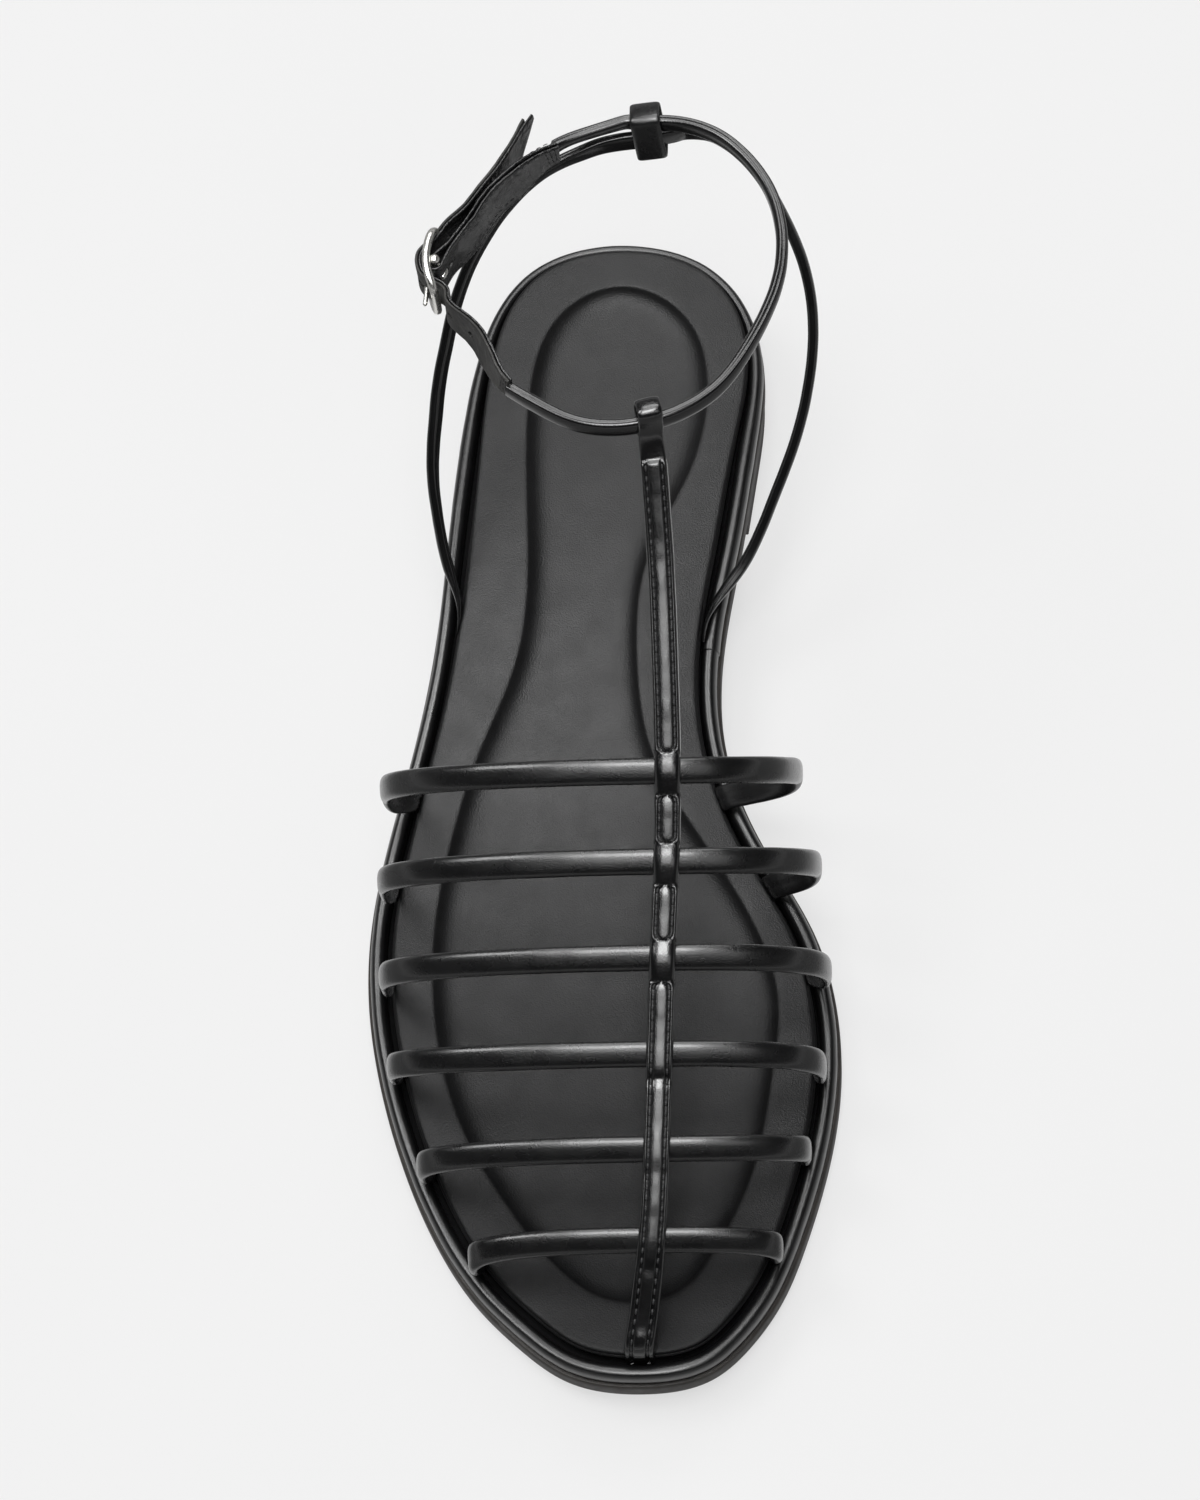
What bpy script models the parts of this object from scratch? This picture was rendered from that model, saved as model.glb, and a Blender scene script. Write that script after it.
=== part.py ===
"""Caged fisherman sandal with a low heel, right foot, built as separate solids.

Lengths are in millimetres in the tables and functions below, and every mesh is
scaled to metres by MM.  The toe points to -Y, the medial side of the foot is +X
and the floor is Z = 0.
"""
from math import cos, pi, radians, sin

import bmesh
import bpy
import numpy as np
from mathutils import Vector

MM = 0.001
GAP = 0.3

# ---- how far the sole is lifted off the floor along its length
TOE_SPRING = 5.0
TOE_BREAK_Y = -85.5
TOE_RUN = 42.0
HEEL_LIFT = 9.5
SHANK_FRONT_Y = -32.5
SHANK_BACK_Y = 72.5
HEEL_BREAST_Y = 66.5

# ---- layers, measured up from the underside of the sole
OUTSOLE_TOP = 6.0
PLATFORM_BOTTOM = OUTSOLE_TOP + GAP
ROLL_TOP = 10.9
DECK = 7.7
FOOTBED_BOTTOM = DECK + GAP
RIM_TOP = 12.8
RECESS_FLOOR = 10.5

# ---- plan of the sole edge and of the sunken centre of the footbed
# columns: edge y, edge lateral x, edge medial x, recess y, recess lateral x, recess medial x
SOLE_SECTIONS = [
    (-124.0, -7.4, 22.4, -108.5, 0.0, 14.0),
    (-117.0, -16.9, 30.2, -105.0, -5.4, 18.8),
    (-107.0, -26.5, 36.9, -98.0, -12.2, 23.4),
    (-95.0, -34.2, 41.8, -88.0, -19.4, 28.7),
    (-80.0, -40.9, 46.4, -75.0, -27.0, 32.8),
    (-62.0, -46.3, 49.5, -60.0, -32.3, 35.4),
    (-45.0, -49.2, 49.0, -45.0, -34.6, 36.6),
    (-28.0, -49.4, 44.5, -28.0, -34.6, 31.6),
    (-10.0, -46.5, 34.8, -10.0, -31.5, 21.2),
    (10.0, -41.3, 27.0, 10.0, -25.4, 10.6),
    (30.0, -36.8, 25.8, 30.0, -17.4, 7.8),
    (55.0, -33.4, 30.0, 52.0, -14.8, 10.2),
    (80.0, -30.6, 34.2, 72.0, -15.2, 19.4),
    (100.0, -27.2, 35.8, 92.0, -14.5, 23.4),
    (114.0, -22.2, 31.7, 106.0, -10.8, 20.6),
    (123.0, -14.6, 23.6, 113.5, -4.4, 14.0),
]
EDGE_TOE = (8.0, -127.0)
EDGE_HEEL = (4.5, 128.6)
RECESS_TOE = (7.1, -109.8)
RECESS_HEEL = (4.9, 116.6)
EDGE_STEPS = 3

# ---- straps over the foot
STRAP_WIDTH = 5.4
STRAP_THICKNESS = 2.6
STRAP_TAB_THICKNESS = 0.7
STRAP_STRAIGHT = 0.5
T_STRAP_WIDTH = 5.2
T_STRAP_THICKNESS = 2.4
T_STRAP_RISE = 0.6
STRAP_ROUNDNESS = 0.80
# columns: crown x, crown y, crown z, then for each side base y, widest y, widest x, widest z
CROSS_STRAPS = {
    "strap_1": (13.0, -13.8, 64.0, (0.5, -5.2, -43.2, 34.0), (-1.0, -2.0, 41.8, 32.0)),
    "strap_2": (13.0, -30.2, 56.0, (-18.0, -24.6, -43.8, 31.0), (-20.6, -21.6, 45.4, 29.0)),
    "strap_3": (12.0, -48.2, 49.0, (-38.4, -44.0, -43.6, 27.0), (-39.0, -43.6, 47.0, 26.0)),
    "strap_4": (11.0, -66.2, 42.0, (-58.0, -62.3, -42.0, 24.0), (-59.5, -63.7, 45.6, 24.0)),
    "strap_5": (10.0, -84.3, 36.0, (-79.6, -83.1, -35.8, 22.0), (-77.6, -80.6, 42.2, 22.0)),
    "strap_6": (9.0, -101.3, 29.5, (-99.8, -102.5, -25.2, 21.0), (-98.2, -101.0, 36.1, 21.0)),
}
# columns: x, y, z of the middle of the T-strap, toe first
T_STRAP_ROUTE = [
    (8.6, -117.8, 20.2),
    (9.9, -110.5, 24.4),
    (11.2, -101.8, 29.3),
    (12.6, -84.8, 36.4),
    (13.6, -66.8, 42.6),
    (14.6, -48.8, 49.7),
    (15.8, -31.4, 56.8),
    (16.5, -15.0, 64.8),
    (16.5, 7.0, 75.2),
    (16.2, 22.9, 83.0),
    (15.6, 36.0, 90.4),
    (14.9, 44.6, 95.8),
]

# ---- straps round the ankle and behind the heel
ANKLE_HEIGHT = 3.6
ANKLE_THICKNESS = 2.5
SLING_HEIGHT = 4.2
SLING_THICKNESS = 2.0
RING_FRONT = (14.7, 47.3, 98.0)
RING_FRONT_TURN = 13.0
RING_FRONT_LEAN = 20.0
TOP_LOOP_WIDTH = 5.2
TOP_LOOP_SLACK = 0.6
# columns: x, y, z of the middle of the rolled ankle strap from the lateral front round the heel,
# then how many degrees its top leans towards the heel
ANKLE_ROUTE = [
    (-13.4, 56.1, 97.0, 8.0),
    (-7.1, 51.6, 97.5, 14.0),
    (0.4, 47.5, 98.0, 18.0),
    (8.0, 46.4, 98.0, 20.0),
    (*RING_FRONT, RING_FRONT_LEAN),
    (21.1, 49.7, 97.7, 20.0),
    (28.0, 54.8, 97.0, 18.0),
    (33.4, 62.3, 96.4, 12.0),
    (37.7, 71.0, 95.6, 4.0),
    (40.8, 80.5, 94.6, 0.0),
    (41.6, 89.4, 93.8, 0.0),
    (39.6, 100.4, 92.8, 0.0),
    (34.8, 109.0, 92.0, 4.0),
    (28.2, 115.4, 91.3, 8.0),
    (20.9, 118.4, 90.8, 10.0),
    (14.0, 119.2, 90.5, 6.0),
    (5.8, 118.3, 90.6, -14.0),
    (-1.0, 115.9, 90.9, -18.0),
    (-4.8, 113.7, 91.3, -10.0),
]
# columns: x, y, z of the middle of the heel sling from the lateral side to the medial side,
# then how many degrees its top edge leans towards the heel
SLING_ROUTE = [
    (-31.8, 49.0, 25.8, -41.0),
    (-33.6, 58.0, 33.7, -41.0),
    (-34.1, 64.0, 38.9, -41.0),
    (-33.8, 70.0, 44.2, -41.0),
    (-32.9, 75.6, 49.0, -41.0),
    (-31.6, 81.3, 54.0, -41.0),
    (-29.4, 87.2, 59.2, -41.0),
    (-26.3, 94.0, 65.1, -40.0),
    (-21.8, 100.8, 71.0, -37.0),
    (-15.0, 107.9, 77.3, -28.0),
    (-8.0, 112.6, 81.4, -16.0),
    (1.1, 116.1, 84.6, 4.0),
    (8.0, 117.5, 85.6, 16.0),
    (14.2, 118.0, 86.0, 20.0),
    (17.8, 118.6, 85.9, 18.0),
    (21.5, 119.5, 85.5, 6.0),
    (25.8, 119.3, 84.9, -8.0),
    (29.9, 117.5, 84.0, -20.0),
    (33.9, 114.5, 82.5, -28.0),
    (38.0, 110.3, 79.3, -35.0),
    (41.7, 104.9, 74.6, -39.0),
    (44.6, 99.6, 70.0, -41.0),
    (46.6, 93.5, 64.6, -41.0),
    (47.2, 86.5, 58.4, -41.0),
    (46.2, 79.2, 51.5, -41.0),
    (43.5, 70.6, 43.8, -41.0),
    (37.3, 58.4, 33.0, -41.0),
    (30.5, 47.7, 24.6, -41.0),
]
# columns: y where an end meets the deck, y where it leaves the groove
SLING_ENDS = {-1: (38.0, 41.6), 1: (36.4, 40.2)}
SLING_SLOPE = (0.66, 0.75)
SLING_SIDE_LEAN = -41.0
KEEPER_TALL = (-0.12, 0.34, 0.93)
KEEPER_CENTRE = (14.4, 118.4, 88.2)
KEEPER_SPREAD = 2.35
KEEPER_HALF_ROOM = 2.35
KEEPER_WIDTH = 6.2
KEEPER_THICKNESS = 1.0

# ---- flat ends of the ankle strap and their buckle
TAB_HEIGHT = 9.2
TAB_LAYER = 0.7
TONGUE_THICKNESS = 1.3
BUCKLE_Z = 93.2
BAR_X, BAR_Y = -28.6, 84.6
BAR_RADIUS = 0.8
FRAME_MIDDLE_Y = 84.9
FRAME_HALF_LENGTH = 6.9
FRAME_HALF_HEIGHT = 6.3
FRAME_CORNER = 3.0
FRAME_WIRE = 0.85
FRAME_X = -30.2
FRAME_BOW = 1.6
PRONG_RADIUS = 0.6
PRONG_HOLE = (-30.7, 82.3)
# columns: x, y, z of the middle line, from the joint with the rolled strap to the bar
TAB_ROUTE = [
    (-5.05, 113.5, 92.0),
    (-8.9, 111.2, 92.5),
    (-13.4, 107.3, 93.0),
    (-17.9, 102.4, BUCKLE_Z),
    (-20.2, 99.1, BUCKLE_Z),
    (-22.1, 95.2, BUCKLE_Z),
    (-24.0, 91.2, BUCKLE_Z),
    (-26.3, 87.8, BUCKLE_Z),
]
# columns: x, y, z of the middle line, from the joint with the rolled strap to the free end
TONGUE_ROUTE = [
    (-13.9, 56.5, 96.6),
    (-17.6, 62.2, 95.6),
    (-20.6, 68.1, 94.8),
    (-23.9, 72.6, 94.0),
    (-26.2, 76.2, 93.5),
    (-26.4, 78.8, BUCKLE_Z),
    (-28.6, 80.7, BUCKLE_Z),
    (-30.9, 82.0, BUCKLE_Z),
    (-32.0, 84.6, BUCKLE_Z),
    (-31.6, 87.2, BUCKLE_Z),
    (-29.9, 89.0, BUCKLE_Z),
    (-27.2, 90.2, BUCKLE_Z),
    (-26.1, 92.6, BUCKLE_Z),
    (-24.0, 96.8, BUCKLE_Z),
    (-20.6, 102.2, BUCKLE_Z),
    (-16.6, 107.8, BUCKLE_Z),
    (-13.2, 112.9, BUCKLE_Z),
    (-10.4, 117.8, BUCKLE_Z),
]
# columns: x, y from the middle of the bar, from the open end of the hook to the tip
PRONG_ROUTE = [
    (0.9, -1.45),
    (1.7, 0.0),
    (1.2, 1.2),
    (0.0, 1.7),
    (-1.2, 1.2),
    (-1.7, 0.1),
    (-1.8, -2.0),
    (-2.0, -5.0),
    (-2.35, -7.6),
]

LEATHER = (0.018, 0.018, 0.019)
GLOSS = (0.014, 0.014, 0.015)
RUBBER = (0.035, 0.030, 0.027)
SILVER = (0.75, 0.75, 0.74)


def smooth_step(start, end, value):
    t = np.clip((np.asarray(value, float) - start) / (end - start), 0.0, 1.0)
    return t * t * (3.0 - 2.0 * t)


def lift(y):
    """Height of the underside of the sole above the floor."""
    spring = TOE_SPRING * np.clip((TOE_BREAK_Y - np.asarray(y, float)) / TOE_RUN, 0.0, 1.0) ** 2
    return spring + HEEL_LIFT * smooth_step(SHANK_FRONT_Y, SHANK_BACK_Y, y)


def spline(points, closed):
    """Cubic spline through the points: returns its knots and an evaluator."""
    points = np.asarray(points, float)
    knots = np.vstack([points, points[:1]]) if closed else points
    steps = np.linalg.norm(np.diff(knots, axis=0), axis=1)
    t = np.concatenate([[0.0], np.cumsum(steps)])
    count = len(knots)
    matrix = np.zeros((count, count))
    right = np.zeros((count, knots.shape[1]))
    for i in range(1, count - 1):
        matrix[i, i - 1:i + 2] = steps[i - 1], 2.0 * (steps[i - 1] + steps[i]), steps[i]
        right[i] = 6.0 * ((knots[i + 1] - knots[i]) / steps[i] - (knots[i] - knots[i - 1]) / steps[i - 1])
    if closed:
        matrix[0, 0], matrix[0, -1] = 1.0, -1.0
        matrix[-1, 0], matrix[-1, 1] = 2.0 * steps[0], steps[0]
        matrix[-1, -2], matrix[-1, -1] = steps[-1], 2.0 * steps[-1]
        right[-1] = 6.0 * ((knots[1] - knots[0]) / steps[0] - (knots[-1] - knots[-2]) / steps[-1])
    else:
        matrix[0, 0] = matrix[-1, -1] = 1.0
    bend = np.linalg.solve(matrix, right)

    def at(values):
        values = np.asarray(values, float)
        k = np.clip(np.searchsorted(t, values, side="right") - 1, 0, count - 2)
        h = steps[k][:, None]
        a = (t[k + 1] - values)[:, None] / h
        b = (values - t[k])[:, None] / h
        curve = (a ** 3 - a) * bend[k] + (b ** 3 - b) * bend[k + 1]
        return a * knots[k] + b * knots[k + 1] + curve * h ** 2 / 6.0

    return t, at


def even_points(points, count):
    """Points at equal distances along an open spline."""
    t, at = spline(points, closed=False)
    fine = np.linspace(0.0, t[-1], 2000)
    lengths = np.linalg.norm(np.diff(at(fine), axis=0), axis=1)
    travelled = np.concatenate([[0.0], np.cumsum(lengths)])
    return at(np.interp(np.linspace(0.0, travelled[-1], count), travelled, fine))


def plan_loop(toe, heel, y_column, lateral_column, medial_column):
    """Closed plan curve: toe tip, medial side, heel tip, lateral side."""
    medial = [(row[medial_column], row[y_column]) for row in SOLE_SECTIONS]
    lateral = [(row[lateral_column], row[y_column]) for row in reversed(SOLE_SECTIONS)]
    t, at = spline([toe] + medial + [heel] + lateral, closed=True)
    values = []
    for start, end in zip(t[:-1], t[1:]):
        values.extend(start + (end - start) * k / EDGE_STEPS for k in range(EDGE_STEPS))
    return at(values)


def outward(loop):
    """Unit outward normals of a closed plan curve that runs anticlockwise."""
    along = np.roll(loop, -1, axis=0) - np.roll(loop, 1, axis=0)
    along /= np.linalg.norm(along, axis=1)[:, None]
    return np.column_stack([along[:, 1], -along[:, 0]])


EDGE = plan_loop(EDGE_TOE, EDGE_HEEL, 0, 1, 2)
EDGE_NORMAL = outward(EDGE)
RECESS = plan_loop(RECESS_TOE, RECESS_HEEL, 3, 4, 5)
RECESS_NORMAL = outward(RECESS)


def lip(y):
    """How far the outsole stands out past the padded roll."""
    return 0.8 - 0.6 * smooth_step(20.0, 70.0, y)


def roll_width(y):
    return 3.5 - 1.2 * smooth_step(60.0, 125.0, y)


def footbed_inset(y, normal_x):
    """Distance from the sole edge in to the footbed edge, a little more on the lateral side."""
    return 6.0 - 2.4 * smooth_step(60.0, 125.0, y) - 0.3 * normal_x


LIP = lip(EDGE[:, 1])
ROLL = roll_width(EDGE[:, 1])
BED = footbed_inset(EDGE[:, 1], EDGE_NORMAL[:, 0])


def raised(plan, height):
    """Plan points lifted to a height above the underside of the sole."""
    return np.column_stack([plan, lift(plan[:, 1]) + height])


def inset_loop(distance, height):
    return raised(EDGE - EDGE_NORMAL * np.broadcast_to(distance, len(EDGE))[:, None], height)


def recess_loop(distance, height):
    return raised(RECESS - RECESS_NORMAL * distance, height)


def make_material(name, colour, roughness, metallic=0.0):
    material = bpy.data.materials.new(name)
    material.use_nodes = True
    shader = material.node_tree.nodes["Principled BSDF"]
    shader.inputs["Base Color"].default_value = (*colour, 1.0)
    shader.inputs["Roughness"].default_value = roughness
    shader.inputs["Metallic"].default_value = metallic
    material.diffuse_color = (*colour, 1.0)
    return material


def make_solid(name, vertices, faces, material=None, sharp_angle=50.0):
    """One object from vertices in millimetres; with no material it is a hidden helper."""
    mesh = bpy.data.meshes.new(name)
    mesh.from_pydata([tuple(MM * float(c) for c in v) for v in vertices], [], faces)
    body = bmesh.new()
    body.from_mesh(mesh)
    bmesh.ops.recalc_face_normals(body, faces=body.faces)
    body.to_mesh(mesh)
    body.free()
    mesh.shade_smooth()
    mesh.set_sharp_from_angle(angle=radians(sharp_angle))
    solid = bpy.data.objects.new(name, mesh)
    bpy.context.collection.objects.link(solid)
    if material is None:
        solid.hide_render = True
        solid.display_type = "WIRE"
    else:
        mesh.materials.append(material)
    return solid


def stacked_solid(name, loops, material):
    """Solid between plan loops, bottom first, its two ends closed from side to side."""
    size = len(loops[0])
    half = size // 2
    vertices = np.vstack(loops)
    faces = []
    for level in range(len(loops) - 1):
        low, high = level * size, (level + 1) * size
        for i in range(size):
            j = (i + 1) % size
            faces.append((low + i, low + j, high + j, high + i))
    for base in (0, (len(loops) - 1) * size):
        faces.append((base, base + 1, base + size - 1))
        faces.append((base + half - 1, base + half, base + half + 1))
        for i in range(1, half - 1):
            faces.append((base + i, base + i + 1, base + size - i - 1, base + size - i))
    return make_solid(name, vertices, faces, material)


SECTION = [(1.0, 0.35), (0.68, 1.0), (-0.68, 1.0), (-1.0, 0.35), (-1.0, -0.35), (-0.68, -1.0), (0.68, -1.0), (1.0, -0.35)]
SQUARE = [(1.0, 1.0), (-1.0, 1.0), (-1.0, -1.0), (1.0, -1.0)]
ROUND = [(cos(k * pi / 4.0), sin(k * pi / 4.0)) for k in range(8)]


def unit_rows(vectors):
    return vectors / np.linalg.norm(vectors, axis=1)[:, None]


def swept_solid(name, route, across, half_width, half_thickness, material, section=SECTION, closed=False):
    """Sweep a flat section along a route; across is the direction of its width."""
    route = np.asarray(route, float)
    count = len(route)
    if closed:
        along = unit_rows(np.roll(route, -1, axis=0) - np.roll(route, 1, axis=0))
    else:
        along = unit_rows(np.gradient(route, axis=0))
    across = np.broadcast_to(np.asarray(across, float), route.shape)
    across = unit_rows(across - along * np.sum(across * along, axis=1)[:, None])
    out = np.cross(along, across)
    widths = np.broadcast_to(half_width, count)
    depths = np.broadcast_to(half_thickness, count)
    size = len(section)
    vertices = []
    for k in range(count):
        for w, d in section:
            vertices.append(route[k] + across[k] * w * widths[k] + out[k] * d * depths[k])
    faces = []
    for k in range(count if closed else count - 1):
        low, high = k * size, ((k + 1) % count) * size
        for i in range(size):
            j = (i + 1) % size
            faces.append((low + i, low + j, high + j, high + i))
    if not closed:
        faces.append(tuple(range(size)))
        faces.append(tuple(range((count - 1) * size, count * size)))
    return make_solid(name, vertices, faces, material)


def joined(target, helpers, operation="UNION"):
    for helper in helpers:
        step = target.modifiers.new(helper.name, "BOOLEAN")
        step.operation = operation
        step.solver = "EXACT"
        step.object = helper
    return target


# ---- where a strap end goes down between the roll and the footbed

GROOVE_INSET = (LIP + ROLL + BED) / 2.0
GROOVE = EDGE - EDGE_NORMAL * GROOVE_INSET[:, None]


def groove_place(y, side):
    """Point and direction of the groove at a given y on one side (-1 lateral, 1 medial)."""
    half = len(GROOVE) // 2
    line = GROOVE[:half + 1] if side > 0 else np.vstack([GROOVE[half:], GROOVE[:1]])
    order = np.argsort(line[:, 1])
    x = np.interp(y, line[order, 1], line[order, 0])
    ahead = np.interp(y + 1.0, line[order, 1], line[order, 0])
    behind = np.interp(y - 1.0, line[order, 1], line[order, 0])
    slope = (lift(y + 1.0) - lift(y - 1.0)) / 2.0
    direction = np.array([(ahead - behind) / 2.0, 1.0, slope])
    return np.array([x, y]), direction / np.linalg.norm(direction)


def strap_side(crown, side, base_y, wide_y, wide_x, wide_z):
    """Route and width direction from the crown of an arched strap down into the groove."""
    place, groove_direction = groove_place(base_y, side)
    floor = float(max(lift(base_y - STRAP_WIDTH / 2.0), lift(base_y + STRAP_WIDTH / 2.0))) + DECK + GAP
    mouth = floor + ROLL_TOP - DECK + STRAP_STRAIGHT
    crown = np.asarray(crown)
    route = []
    for k in range(9):
        turn = k / 8.0 * pi / 2.0
        sideways = sin(turn) ** STRAP_ROUNDNESS
        down = 1.0 - cos(turn) ** STRAP_ROUNDNESS
        x = crown[0] + (wide_x - crown[0]) * sideways
        z = crown[2] + (wide_z - crown[2]) * down
        route.append((x, crown[1] + (wide_y - crown[1]) * down, z))
    widest = np.array([wide_x, wide_y, wide_z])
    entry = np.array([place[0], place[1], mouth])
    drop = wide_z - mouth
    first = widest - np.array([0.0, 0.0, 0.55 * drop])
    second = entry + np.array([0.16 * (wide_x - place[0]), 0.2 * (wide_y - base_y), 0.30 * drop])
    for k in range(1, 7):
        v = k / 6.0
        u = 1.0 - v
        route.append(tuple(u ** 3 * widest + 3 * u * u * v * first + 3 * u * v * v * second + v ** 3 * entry))
    route.append((place[0], place[1], (mouth + floor) / 2.0))
    route.append((place[0], place[1], floor))
    across = [np.array([0.0, 0.96, 0.28])] * 9
    for k in range(1, 7):
        blend = smooth_step(0.15, 1.0, k / 6.0)
        across.append(across[0] * (1.0 - blend) + groove_direction * blend)
    across += [groove_direction] * 2
    depth = [1.0] * 9 + [1.0, 1.0, 0.9, 0.7, 0.38, 0.0, 0.0, 0.0]
    return np.array(route), np.array(across), np.array(depth)


def arched_strap(name, row):
    crown, lateral, medial = row[:3], row[3], row[4]
    left = strap_side(crown, -1, *lateral)
    right = strap_side(crown, 1, *medial)
    route, across, depth = [np.concatenate([a[::-1], b[1:]]) for a, b in zip(left, right)]
    thickness = STRAP_TAB_THICKNESS + (STRAP_THICKNESS - STRAP_TAB_THICKNESS) * depth
    return swept_solid(name, route, across, STRAP_WIDTH / 2.0, thickness / 2.0, None)


def rounded_rectangle(half_a, half_b, corner, per_corner):
    """Closed loop of (a, b) points round a rectangle with round corners."""
    points = []
    for quarter, (sign_a, sign_b) in enumerate([(1, 1), (-1, 1), (-1, -1), (1, -1)]):
        for k in range(per_corner):
            angle = (quarter + k / (per_corner - 1.0)) * pi / 2.0
            a = sign_a * (half_a - corner) + corner * cos(angle)
            b = sign_b * (half_b - corner) + corner * sin(angle)
            points.append((a, b))
    return points


def band_round(name, centre, half_depth, half_height, tall, through, width, thickness, material):
    """Closed band round the straps that run through it."""
    tall = np.array(tall) / np.linalg.norm(tall)
    deep = np.cross(tall, through)
    deep /= np.linalg.norm(deep)
    through = np.cross(deep, tall)
    loop = rounded_rectangle(half_depth, half_height, 1.3, 4)
    route = [np.array(centre) + deep * a + tall * b for a, b in loop]
    return swept_solid(name, route, through, width / 2.0, thickness / 2.0, material, SQUARE, closed=True)


def build_outsole(material):
    loops = [
        inset_loop(0.6, 0.0),
        inset_loop(0.0, 0.9),
        inset_loop(0.0, OUTSOLE_TOP - 0.6),
        inset_loop(0.5, OUTSOLE_TOP),
    ]
    stacked_solid("outsole", loops, material)


def build_heel(material):
    """Low block under the back of the outsole, its breast straight across."""
    half = len(EDGE) // 2
    first = int(np.argmax(EDGE[:half, 1] > HEEL_BREAST_Y))
    keep = list(range(first, len(EDGE) - first + 1))
    levels = [(0.8, 0.0, True), (0.4, 0.8, True), (0.3, -GAP - 0.6, False), (0.7, -GAP, False)]
    loops = []
    for distance, height, on_floor in levels:
        plan = (EDGE - EDGE_NORMAL * distance)[keep]
        plan[[0, -1], 1] = HEEL_BREAST_Y + (0.6 if on_floor and height == 0.0 else 0.0)
        base = np.zeros(len(plan)) if on_floor else lift(plan[:, 1])
        loops.append(np.column_stack([plan, base + height]))
    size = len(keep)
    vertices = np.vstack(loops)
    faces = []
    for level in range(len(loops) - 1):
        low, high = level * size, (level + 1) * size
        for i in range(size):
            j = (i + 1) % size
            faces.append((low + i, low + j, high + j, high + i))
    middle = size // 2
    for base in (0, (len(loops) - 1) * size):
        for i in range(middle - 1):
            faces.append((base + i, base + i + 1, base + size - i - 2, base + size - i - 1))
        faces.append((base + middle - 1, base + middle, base + middle + 1))
    make_solid("heel", vertices, faces, material)


def build_platform(material):
    """Wrapped platform: low wall, padded roll round the edge, groove, flat deck."""
    roll_centre = LIP + ROLL / 2.0
    loops = [inset_loop(LIP + 1.3, PLATFORM_BOTTOM), inset_loop(LIP + 0.25, PLATFORM_BOTTOM + 0.7)]
    roll_height = ROLL_TOP - DECK
    for angle in (170.0, 140.0, 110.0, 80.0, 50.0, 20.0):
        across = cos(radians(angle))
        up = sin(radians(angle))
        loops.append(inset_loop(roll_centre + ROLL / 2.0 * across, DECK + 0.2 + (roll_height - 0.2) * up))
    loops.append(inset_loop(LIP + ROLL, DECK))
    stacked_solid("platform", loops, material)


def build_footbed(material):
    """Insole with a flat rim and a sunken centre that has a soft fillet."""
    loops = [
        inset_loop(BED + 0.3, FOOTBED_BOTTOM),
        inset_loop(BED, FOOTBED_BOTTOM + 0.4),
        inset_loop(BED, RIM_TOP - 0.5),
        inset_loop(BED + 0.5, RIM_TOP),
        recess_loop(-0.6, RIM_TOP),
        recess_loop(0.1, RIM_TOP - 0.5),
        recess_loop(1.0, RECESS_FLOOR + 0.6),
        recess_loop(2.8, RECESS_FLOOR),
    ]
    stacked_solid("footbed", loops, material)


def build_upper(material):
    """Six arched straps and the T-strap with its top loop, joined where they cross."""
    toe_place = GROOVE[0]
    floor = float(lift(toe_place[1])) + DECK + GAP
    mouth = floor + ROLL_TOP - DECK
    end = [(toe_place[0], toe_place[1], floor), (toe_place[0], toe_place[1], mouth + 0.6)]
    body = even_points([(x, y, z + T_STRAP_RISE) for x, y, z in T_STRAP_ROUTE], 30)
    over = [(toe_place[0], toe_place[1] + 0.7, mouth + 4.2), (toe_place[0] + 0.1, toe_place[1] + 2.2, mouth + 6.0)]
    route = np.array(end + over + list(body))
    thickness = np.full(len(route), T_STRAP_THICKNESS)
    thickness[:3] = STRAP_TAB_THICKNESS, STRAP_TAB_THICKNESS, 1.6
    strap = swept_solid("upper", route, (1.0, 0.0, 0.0), T_STRAP_WIDTH / 2.0, thickness / 2.0, material)
    depth = ANKLE_THICKNESS / 2.0 + GAP + 0.1 + KEEPER_THICKNESS / 2.0
    height = ANKLE_HEIGHT / 2.0 + GAP + TOP_LOOP_SLACK + KEEPER_THICKNESS / 2.0
    lean, turn = radians(RING_FRONT_LEAN), radians(RING_FRONT_TURN)
    tall = np.array([0.0, sin(lean), cos(lean)])
    through = np.array([cos(turn), sin(turn), 0.0])
    centre = np.array(RING_FRONT) + tall * (TOP_LOOP_SLACK - 0.1)
    helpers = [arched_strap(name, row) for name, row in CROSS_STRAPS.items()]
    loop = band_round("top_loop", centre, depth, height, tall, through, TOP_LOOP_WIDTH, KEEPER_THICKNESS, None)
    helpers.append(loop)
    joined(strap, helpers)


def leaning(degrees):
    """Width directions of a strap whose top leans towards the heel."""
    lean = np.radians(degrees)
    return np.column_stack([0.0 * lean, np.sin(lean), np.cos(lean)])


def build_ankle_strap(material):
    """Rolled strap from the tongue joint round the ankle to the buckle tab."""
    rows = even_points(ANKLE_ROUTE, 48)
    swept_solid("ankle_strap", rows[:, :3], leaning(rows[:, 3]), ANKLE_HEIGHT / 2.0, ANKLE_THICKNESS / 2.0, material)


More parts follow.
